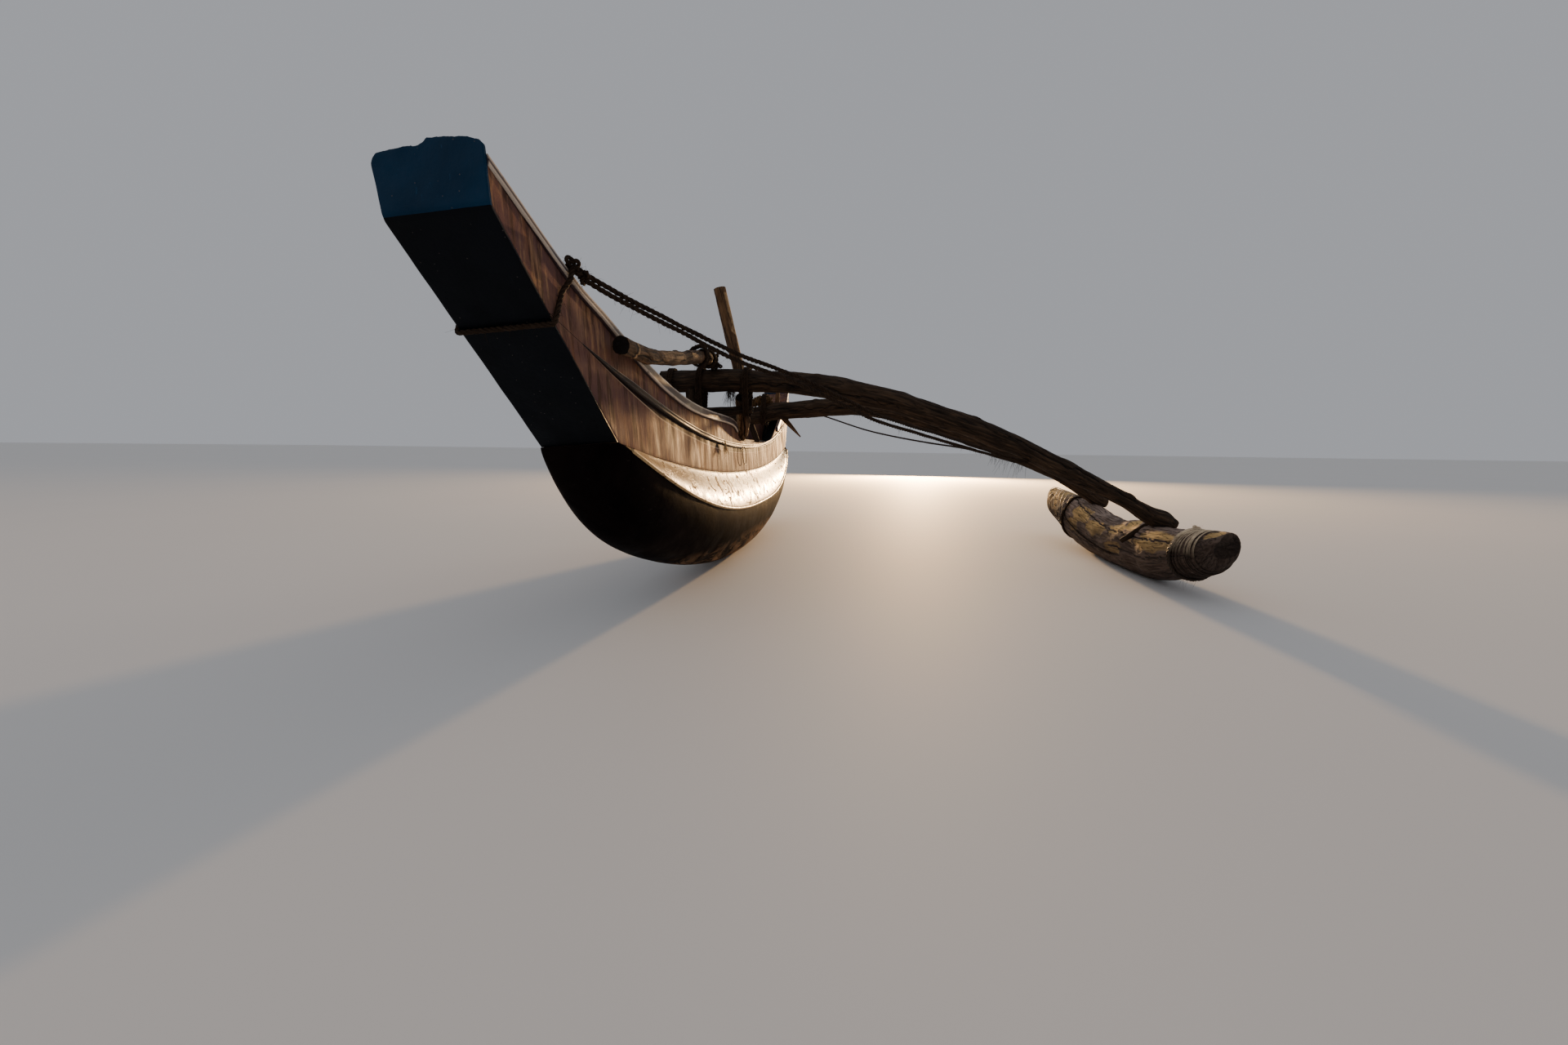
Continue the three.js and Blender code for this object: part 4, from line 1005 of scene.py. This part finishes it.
FLOAT_CRACKS = [  # depth, then x and angle along each crack
    (9, ((-740, 3.3), (-544, 3.64), (-72, 3.9), (419, 4.2), (597, 4.15), (1016, 4.19))),
    (6, ((-600, 2.6), (-100, 2.45), (500, 2.7))),
    (6, ((-1300, 3.9), (-900, 4.2), (-760, 4.35))),
    (5, ((200, 4.75), (700, 4.9), (1150, 4.8))),
    (5, ((-500, 5.0), (100, 5.15), (400, 5.1))),
]
FLOAT_WORN = [  # bare hewn places: x, angle, half length, half turn
    (-360, 4.0, 210, 0.50), (-60, 4.2, 200, 0.42), (800, 4.2, 235, 0.52), (410, 3.6, 75, 0.4), (250, 4.0, 120, 0.35),
    (-1120, 3.6, 330, 1.5), (-1200, 2.2, 240, 0.8), (-150, 2.1, 300, 0.4), (650, 2.3, 260, 0.35),
    (300, 4.8, 160, 0.25), (1235, 3.55, 75, 0.55), (-520, 4.7, 160, 0.3),
]


def float_skin(x, angle, off=0):
    """Points off the float's smooth skin by a few millimetres, and the height of its middle at x."""
    top, foot, wide = (along(FLOAT, x, column) for column in (1, 2, 3))
    middle, half = (top + foot) / 2, (top - foot) / 2
    return grid(x, FLOAT_Y + (wide + off) * np.sin(angle), middle - (half + off) * np.cos(angle)), middle


def add_float():
    """Float log: hewn ends, bark, long cracks and broken facets."""
    low, high = FLOAT[0][0], FLOAT[-1][0]
    stations = [*np.linspace(low, low + 60, 14)[:-1], *np.linspace(low + 60, high - 50, 260),
                *np.linspace(high - 50, high, 14)[1:]]
    x, angle = np.array(stations)[:, None], circle(112)
    rings, middle = float_skin(x, angle)
    around = rings - grid(0, FLOAT_Y, middle)
    out = 5 * fractal(around / (240, 90, 90), 3, 81) + 2.4 * (ridged(around / (130, 15, 15), 82) - 0.5)
    out = out - 9 * np.clip(noise(around / (190, 120, 120), 84) - 0.3, 0, 0.35) / 0.35
    ragged = 0.45 * fractal(around / (60, 45, 45), 3, 87)
    wear_and_painted_light = np.zeros(out.shape)
    for at, turn, half, half_turn in FLOAT_WORN:
        apart = ((x - at) / half) ** 2 + (wrapped(angle - turn) / half_turn) ** 2
        wear_and_painted_light = np.maximum(wear_and_painted_light, np.clip((1.05 - apart + ragged) * 1.6, 0, 1))
    out = out - 4.5 * wear_and_painted_light
    for deep, line in FLOAT_CRACKS:
        line = np.array(line).T
        near = 130 * wrapped(angle - np.interp(x, *line) - 0.03 * noise(grid(x / 30, 0, deep), 85))
        ends = np.clip(np.minimum(x - line[0, 0], line[0, -1] - x) / 60, 0, 1)
        groove = ends * np.exp(-(near / 3.6) ** 2)
        out = out - deep * groove
        wear_and_painted_light = np.where(groove > 0.35, DARK, wear_and_painted_light)
    dark = np.clip((x - 1120 - 40 * ragged) / 50, 0, 1) * (wear_and_painted_light < 0.5)
    wear_and_painted_light = np.where(dark > 0, np.minimum(wear_and_painted_light, -0.4 * dark), wear_and_painted_light)
    out = out * np.clip(np.minimum(x - low, high - x) / 90 + 0.2, 0, 1)
    radial = around * np.array([0, 1, 1])
    radial = radial / np.linalg.norm(radial, axis=-1, keepdims=True)
    rings = rings + radial * np.minimum(out, 4)[..., None]
    rings[..., 2] = np.maximum(rings[..., 2], 0.4)
    rings[..., 1] = np.minimum(rings[..., 1], FLOAT_Y + 133)
    lip = np.clip((x - high + 110) / 110, 0, 1) * -np.cos(angle + 0.4)
    rings[..., 0] += 62 * np.minimum(lip, 0)

    def cap(end, k):
        centre = rings[end].mean(0)
        inside = centre + (rings[end] - centre) * k
        rough = 7 * noise(grid(angle * 3, 9 * k, end), 86) * (1 - k) ** 0.5
        inside[:, 0] += (-7 * (1 - k) + rough) * (1 if end else -1)
        return inside

    # The near end face takes a dark value, which is painted shade; the far end face a pale one.
    return log_mesh("float_timber", "float_log", rings, around, wear_and_painted_light, cap, (0.9, 0.65, 0.4, 0.18), (0.7, -0.8),
                    FLOAT_WOOD, 70)


# Rope

class Strands:
    """Collects rope strands and loose fibres for one mesh."""

    def __init__(self, seed):
        self.verts, self.faces, self.grain, self.count = [], [], [], 0
        self.random = random.Random(seed)
        self.seed = seed

    def tube(self, path, radius, sides, closed=False, fibre=0):
        """Tube along a path, its radius a number or one for each point."""
        radius = np.broadcast_to(radius, len(path)).astype(float)[:, None]
        angle = circle(sides)
        s = lengths(path)[:, None]
        shape = radius
        if fibre:
            at = grid(s / 9, np.cos(angle) * 1.6, np.sin(angle) * 1.6 + self.count * 0.013)
            shape = shape * (1 + fibre * noise(at, self.seed))
        self.verts.append(rings_along(path, shape, angle, *frames(path, closed)).reshape(-1, 3))
        self.grain.append(grid(s, radius * np.cos(angle), radius * np.sin(angle)).reshape(-1, 3))
        self.faces.append(tube_faces(len(path), sides, closed) + self.count)
        if not closed:
            first = np.arange(sides) + self.count
            for ring, flip in ((first, True), (first + (len(path) - 1) * sides, False)):
                self.faces.append(fan(ring[0], ring, flip)[1:-1])
        self.count += len(path) * sides

    def rope(self, path, diameter, closed=False, hairs=0.0, hair_long=22):
        """Three strands laid up along a path, with hairs a centimetre of its length."""
        n, b = frames(path, closed)
        s = lengths(path)
        pitch = 3.4 * diameter
        if closed:
            whole = s[-1] + np.linalg.norm(path[0] - path[-1])
            pitch = whole / max(1, round(whole / pitch))
        wander = 1 + 0.10 * noise(grid(s / 70, self.count * 0.01, 0), self.seed + 2)
        for k in range(3):
            phase = 2 * math.pi * (s / pitch + k / 3)
            off = 0.25 * diameter * wander
            strand = path + (off * np.cos(phase))[:, None] * n + (off * np.sin(phase))[:, None] * b
            self.tube(strand, 0.265 * diameter, 6, closed, 0.16)
        for _ in range(int(hairs * s[-1] / 10)):
            i = self.random.randrange(2, len(path) - 2)
            turn = self.random.uniform(0, 2 * math.pi)
            out = n[i] * math.cos(turn) + b[i] * math.sin(turn)
            run = path[i + 1] - path[i - 1]
            run = run / np.linalg.norm(run) * self.random.uniform(-1, 1)
            self.hair(path[i] + out * diameter * 0.42, out * 0.8 + run, self.random.uniform(0.3, 1) * hair_long)

    def knot(self, centre, size, turn, diameter, hairs):
        """A tangled overhand knot of rope."""
        t = np.linspace(0, 2 * math.pi, 66, endpoint=False)
        curve = np.stack([np.sin(t) + 2 * np.sin(2 * t), np.cos(t) - 2 * np.cos(2 * t), -np.sin(3 * t)], -1) / 3
        spin = Matrix.Rotation(turn * 1.3, 3, "X") @ Matrix.Rotation(turn * 0.7, 3, "Y")
        self.rope(np.asarray(centre) + size * curve @ np.array(spin), diameter, True, hairs)

    def hair(self, start, way, length, thick=0.42):
        way = np.asarray(way, float) / np.linalg.norm(way)
        side = np.array([self.random.uniform(-1, 1) for _ in range(3)]) * 0.35
        t = np.linspace(0, 1, 4)[:, None]
        path = start + length * (way * t + side * t ** 2 + np.array([0, 0, -0.35]) * t ** 2.2)
        self.tube(path, thick * (1 - 0.6 * t[:, 0]), 3)

    def hang(self, start, x, y, length, thick):
        """A hair hanging from start, its lean in x and y and its length drawn between two limits each."""
        way = (self.random.uniform(*x), self.random.uniform(*y), -1)
        self.hair(start, way, self.random.uniform(*length), thick)

    def build(self, name, material, node=None, place=ground):
        """Makes the mesh, in place of a node where one is named."""
        faces = [[f for f in self.faces if f.shape[1] == corners] for corners in (4, 3)]
        verts = place(np.concatenate(self.verts))
        verts[:, 2] = np.maximum(verts[:, 2], FLOOR)
        faces, grain = [np.concatenate(kind) for kind in faces if kind], np.concatenate(self.grain) / 1000
        piece = mesh_object(name, verts, faces, material, grain, sharp=80)
        if node:
            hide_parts(node)


def softened(path, times, closed=False):
    for _ in range(times):
        if closed:
            path = (np.roll(path, 1, 0) + 2 * path + np.roll(path, -1, 0)) / 4
        else:
            path = np.concatenate([path[:1], (path[:-2] + 2 * path[1:-1] + path[2:]) / 4, path[-1:]])
    return path


def winding(points, axis, middle, count):
    """Helix of rope drawn tight round points, with turns nearly square to an axis."""
    u, v = {0: (1, 2), 1: (0, 2)}[axis]
    pitch, lean, steps = 0.82 * ROPE, 2.5, 40
    wide = ROPE + (count - 1) * pitch
    near = points[abs(points[:, axis] - middle) < wide / 2 + 6]
    path = []
    for i in range(count * steps + 1):
        angle = 2 * math.pi * i / steps - math.pi / 2
        out = np.array([math.cos(angle), math.sin(angle)])
        far = near[np.argmax(near[:, u] * out[0] + near[:, v] * out[1])]
        point = np.zeros(3)
        point[axis] = middle + pitch * (i / steps - count / 2) + lean * math.sin(angle)
        point[[u, v]] = far[[u, v]] + out * ROPE * 0.5
        point[2] = max(point[2], ROPE * 0.55)
        path.append(point)
    return softened(resampled(np.array(path), 5), 2)


LASHINGS = [
    # name, what it binds, axis, middle, turns, hanging fibres
    ("boom_left", ["boom_near", "cross_bar"], 1, -262, 3, 10),
    ("boom_middle", ["boom_near", "cross_bar"], 1, -77, 3, 26),
    ("boom_right", ["boom_near", "cross_bar"], 1, 212, 3, 24),
    ("far_boom", ["boom_far", "rope_bundle"], 1, 154, 3, 16),
    ("log_inner", ["crooked_log"], 0, 745, 3, 6),
    ("log_outer", ["crooked_log"], 0, 999, 4, 6),
    ("float_far", ["float_log"], 0, -700, 2, 4),
    ("float_near", ["float_log"], 0, 1000, 2, 4),
]
ROPE_LUMPS = {  # lashing, then centre and size of each knot beside its turns
    "log_inner": [((700, 22, 1242), 25), ((672, 40, 1246), 23), ((726, 12, 1248), 22), ((655, 6, 1238), 22),
                  ((645, 22, 1300), 16)],
    "boom_middle": [((668, -60, 1083), 17), ((660, -95, 1098), 15)],
    "boom_right": [((655, 205, 1076), 19), ((640, 232, 1062), 17), ((668, 184, 1088), 16), ((655, 176, 1016), 16)],
}
FRINGES = {  # lashing, then the ends of the line that its fibres hang from, how many and the longest
    "boom_middle": ((672, -68, 1104), (672, -26, 1102), 50, 62),
    "boom_right": ((670, 96, 1104), (670, 136, 1102), 70, 105),
    "far_boom": ((-392, 60, 1060), (-392, 240, 1052), 40, 60),
}


def clouds(timbers):
    """Points that the lashings are drawn round, by node."""
    rows = spline(ROPE_BUNDLE, 4)
    angle = circle(24)
    bundle = rows[:, None, :3] + rows[:, None, 3:] * grid(np.cos(angle), 0, np.sin(angle)) * 0.95
    found = {node: vertex_values(piece, "co") * 1000 - (0, KEEL_Y, 0) for node, piece in timbers.items()}
    return {**found, "rope_bundle": bundle.reshape(-1, 3)}


def add_lashings(bound):
    for k, (name, nodes, axis, middle, count, fringe) in enumerate(LASHINGS):
        rope = Strands(100 + k)
        path = winding(np.concatenate([bound[node] for node in nodes]), axis, middle, count)
        rope.rope(path, ROPE, hairs=1.3, hair_long=20)
        side = path[np.argmax(path[:, 1 if axis == 0 else 0])]
        if name.startswith("float"):
            side = path[np.argmax(path[:, 2])] + (0, 0, 2)
        rope.knot(side, 15, k, ROPE * 0.75, 3)
        if name == "float_far":
            t = np.linspace(0, 1, 160)
            tail = float_line(-695 + 960 * t, 4.45 + 0.62 * t ** 0.6, 6 + 3 * np.sin(7 * t))
            rope.rope(tail, 9, hairs=0.8)
        for at, size in ROPE_LUMPS.get(name, ()):
            rope.knot(at, size, size + k, ROPE * 0.75, 4)
        if name in FRINGES:
            start, end, many, longest = FRINGES[name]
            for _ in range(many):
                at = np.array(start) + (np.array(end) - start) * rope.random.random()
                rope.hang(at, (-0.3, 0.3), (-0.5, 0.5), (0.25 * longest, longest), 1.3)
        low = path[path[:, 2] < path[:, 2].min() + 14]
        for _ in range(fringe):
            start = low[rope.random.randrange(len(low))] - (0, 0, 4)
            rope.hang(start, (-0.5, 0.5), (-0.6, 0.6), (18, 62), 0.7)
        rope.build(f"lashing_rope_{name}", LINE if name == "float_near" else COIR, f"lashing_{name}")


def float_line(x, angle, off):
    points, _ = float_skin(x, angle, off)
    return np.maximum(points, (-math.inf, -math.inf, 2.5))


def add_float_line():
    """Thin pale line wound on the float: a wide wrinkled band by its near end, and slanted turns on its far tip."""
    line = Strands(170)
    t = np.linspace(0, 1, 2000)
    turns = 2 * math.pi * 16 * t
    across = t + 0.09 * np.sin(turns * 0.113 + 2) + 0.08 * np.sin(turns * 0.271)
    x = 1026 + 168 * np.clip(across, 0, 1) + 9 * np.sin(turns * 0.37) + 16 * np.sin(turns + 1)
    path = float_line(x, turns, 3.2 + 1.5 * np.sin(turns * 2.7 + 9 * t) + 1.2 * np.sin(turns * 0.31))
    line.tube(path, 2.1 + 0.8 * np.sin(9 * turns / 7), 5)
    slants = (150, 200, -170, 190, -150, 90, -220, 160) * 2
    for k, slant in enumerate(slants):
        angle = 2 * math.pi * np.linspace(0, 1, 60) + k
        x = np.clip(-1340 + 40 * k + slant * np.sin(angle + k), -1395, -700)
        line.tube(float_line(x, angle, 3.2), 2.2, 5)
    line.build("float_line", LINE)


def stem_loop(end):
    """Closed path of the rope round a stem."""
    under, over, off = 2750, 2640, ROPE / 2 + 2 * GAP  # where it crosses the raked face and the top, and its distance
    low = np.array([under + off * math.sin(RAKE), 0, rake_z(under) - off * math.cos(RAKE)])
    top = np.array([over, 0, sheer_z(over) + 1.3 * off])
    inner, outer = STEM_HALF + off, STEM_HALF + GUNWALE_OUT[0] + off
    half = [  # y, share of the way from the raked face to the top
        (0, 0), (inner - 10, 0), (inner - 2, 0), (inner, 0.03), (inner, 0.56), (outer - 6, 0.68), (outer, 0.76),
        (outer, 0.96), (outer - 5, 0.99), (outer - 16, 1), (0, 1),
    ]
    loop = [(y, k) for y, k in half] + [(-y, k) for y, k in half[-2:0:-1]]
    loop = [(low + (top - low) * k) * (end, 1, 1) + (0, y, 0) for y, k in loop]
    return heeled(softened(resampled(np.array(loop), 5, True), 3, True))


def add_stays():
    rope = Strands(140)
    path = spline(STAY_NEAR, 6)
    apart = STAY_ROPE * (0.45 + 0.35 * np.sin(math.pi * np.linspace(0, 1, len(path))))
    for k in (1, -1):
        high = k * apart + 1.6 * noise(grid(np.linspace(0, 30, len(path)), k, 0), 6)
        rope.rope(path + grid(0, 0, high), STAY_ROPE * 0.98, hairs=1.1, hair_long=24)
    rope.rope(stem_loop(1), ROPE, True, 1.4)
    for k, (at, size) in enumerate((((2646, 68, 1272), 20), ((2619, 95, 1241), 19), ((2632, 82, 1254), 15))):
        rope.knot(at, size, k + 2, ROPE * 0.8, 4)
    for _ in range(46):
        i = rope.random.randrange(len(path) - 70, len(path) - 1)
        rope.hang(path[i] - (0, 0, 8), (-0.4, 0.4), (-0.7, 0.2), (20, 75), 0.7)
    rope.build("double_stay_near", COIR, "stay_near")
    rope = Strands(150)
    rope.rope(spline(STAY_FAR, 6), ROPE, hairs=0.8)
    rope.rope(stem_loop(-1), ROPE, True, 1.2)
    rope.knot((-2638, 77, 1250), 17, 5, ROPE * 0.8, 4)
    rope.build("single_stay_far", COIR, "stay_far")


def add_bundle():
    """Hank of rope wound on the far boom."""
    rope = Strands(160)
    rows = spline(ROPE_BUNDLE, 4)
    places, count, layers, turns = np.arange(len(rows)), 330, 4, 7
    for k in range(layers):
        angle = np.linspace(0, 2 * math.pi * turns, count) + k * 1.7
        at = np.interp(np.linspace(0, 1, count)[::1 if k % 2 else -1], np.linspace(0, 1, len(rows)), places)
        centre = np.stack([np.interp(at, places, column) for column in rows.T], -1)
        radius = centre[:, 3] * (0.86 - 0.22 * k / 3)
        skew = 9 * np.sin(angle * (1 + 0.13 * k) + k)
        wound = centre[:, :3] + grid(radius * np.cos(angle), skew, radius * np.sin(angle))
        rope.rope(wound, 12, hairs=0.9, hair_long=26)
    for k, at in enumerate(((-412, 60, 1122), (-405, 120, 1140), (-410, 178, 1128))):
        rope.knot(at, 17, k, 11, 5)
    rope.build("wound_rope_hank", COIR_WARM, "rope_bundle")


def add_trim():
    """Wire ring and tuft of pale fibre on the right wall's rub rail."""
    (ring_x, ring_y, ring_z), (tuft_x, tuft_y, tuft_z) = (203, 167.5, 684), (806, 170, 758)
    ring, angle = Strands(180), circle(96)
    radius = 65 + 2.5 * np.sin(2 * angle + 0.5)
    ring.tube(grid(ring_x + radius * np.cos(angle), ring_y, ring_z + radius * np.sin(angle)), 2.5, 8, True)
    ring.build("wire_ring", RUB, place=on_hull)
    tuft = Strands(181)
    for _ in range(60):
        start = np.array([tuft_x + tuft.random.uniform(-9, 9), tuft_y, tuft_z + tuft.random.uniform(-4, 22)])
        tuft.hang(start, (-0.1, 0.5), (0.0, 0.25), (20, 62), 1.5)
    tuft.build("fibre_tuft", COIR_PALE, place=on_hull)


# Floor and light

LIGHTS = [
    # name, place, aim, size, watts, colour
    ("low_key", (-13.5, 1.35, 1.6), (0.3, -0.4, 0.5), 0.45, 3100, (1.0, 0.60, 0.27)),
    ("glow", (-13.0, 1.8, 2.6), (0.0, 0.0, 0.5), 3.0, 260, (1.0, 0.78, 0.48)),
    ("front_fill", (7.0, -5.0, 5.0), (0.5, -0.6, 0.6), 5.0, 20, (0.80, 0.88, 1.0)),
]


def add_stage():
    paint = Paint("studio_floor", 0.75)
    paint.base(paint.noise(0.6, EVEN, 2, 0.5, 0, 90), (0.2, (0.78, 0.765, 0.74)), (0.8, (0.80, 0.785, 0.76)))
    data = bpy.data.meshes.new("floor")
    size = 160
    data.from_pydata([(-size, -size, 0), (size, -size, 0), (size, size, 0), (-size, size, 0)], [], [(0, 1, 2, 3)])
    data.materials.append(paint.finish())
    floor = bpy.data.objects.new("floor", data)
    bpy.context.scene.collection.objects.link(floor)
    world = bpy.data.worlds.new("studio")
    world.use_nodes = True
    sky = world.node_tree.nodes["Background"].inputs
    sky["Color"].default_value = (0.82, 0.84, 0.90, 1)
    sky["Strength"].default_value = 0.46
    bpy.context.scene.world = world
    for name, place, aim, size, watts, colour in LIGHTS:
        light = bpy.data.lights.new(name, "AREA")
        light.shape, light.size, light.energy, light.color = "DISK", size, watts, colour
        lamp = bpy.data.objects.new(name, light)
        way = Vector(aim) - Vector(place)
        lamp.matrix_world = Matrix.Translation(place) @ way.to_track_quat("-Z", "Y").to_matrix().to_4x4()
        lamp.visible_camera = False
        bpy.context.scene.collection.objects.link(lamp)


add_camera()
add_hull()
add_stems()
add_boards()
TIMBERS = add_timbers()
TIMBERS["float_log"] = add_float()
add_lashings(clouds(TIMBERS))
add_float_line()
add_stays()
add_bundle()
add_trim()
add_stage()
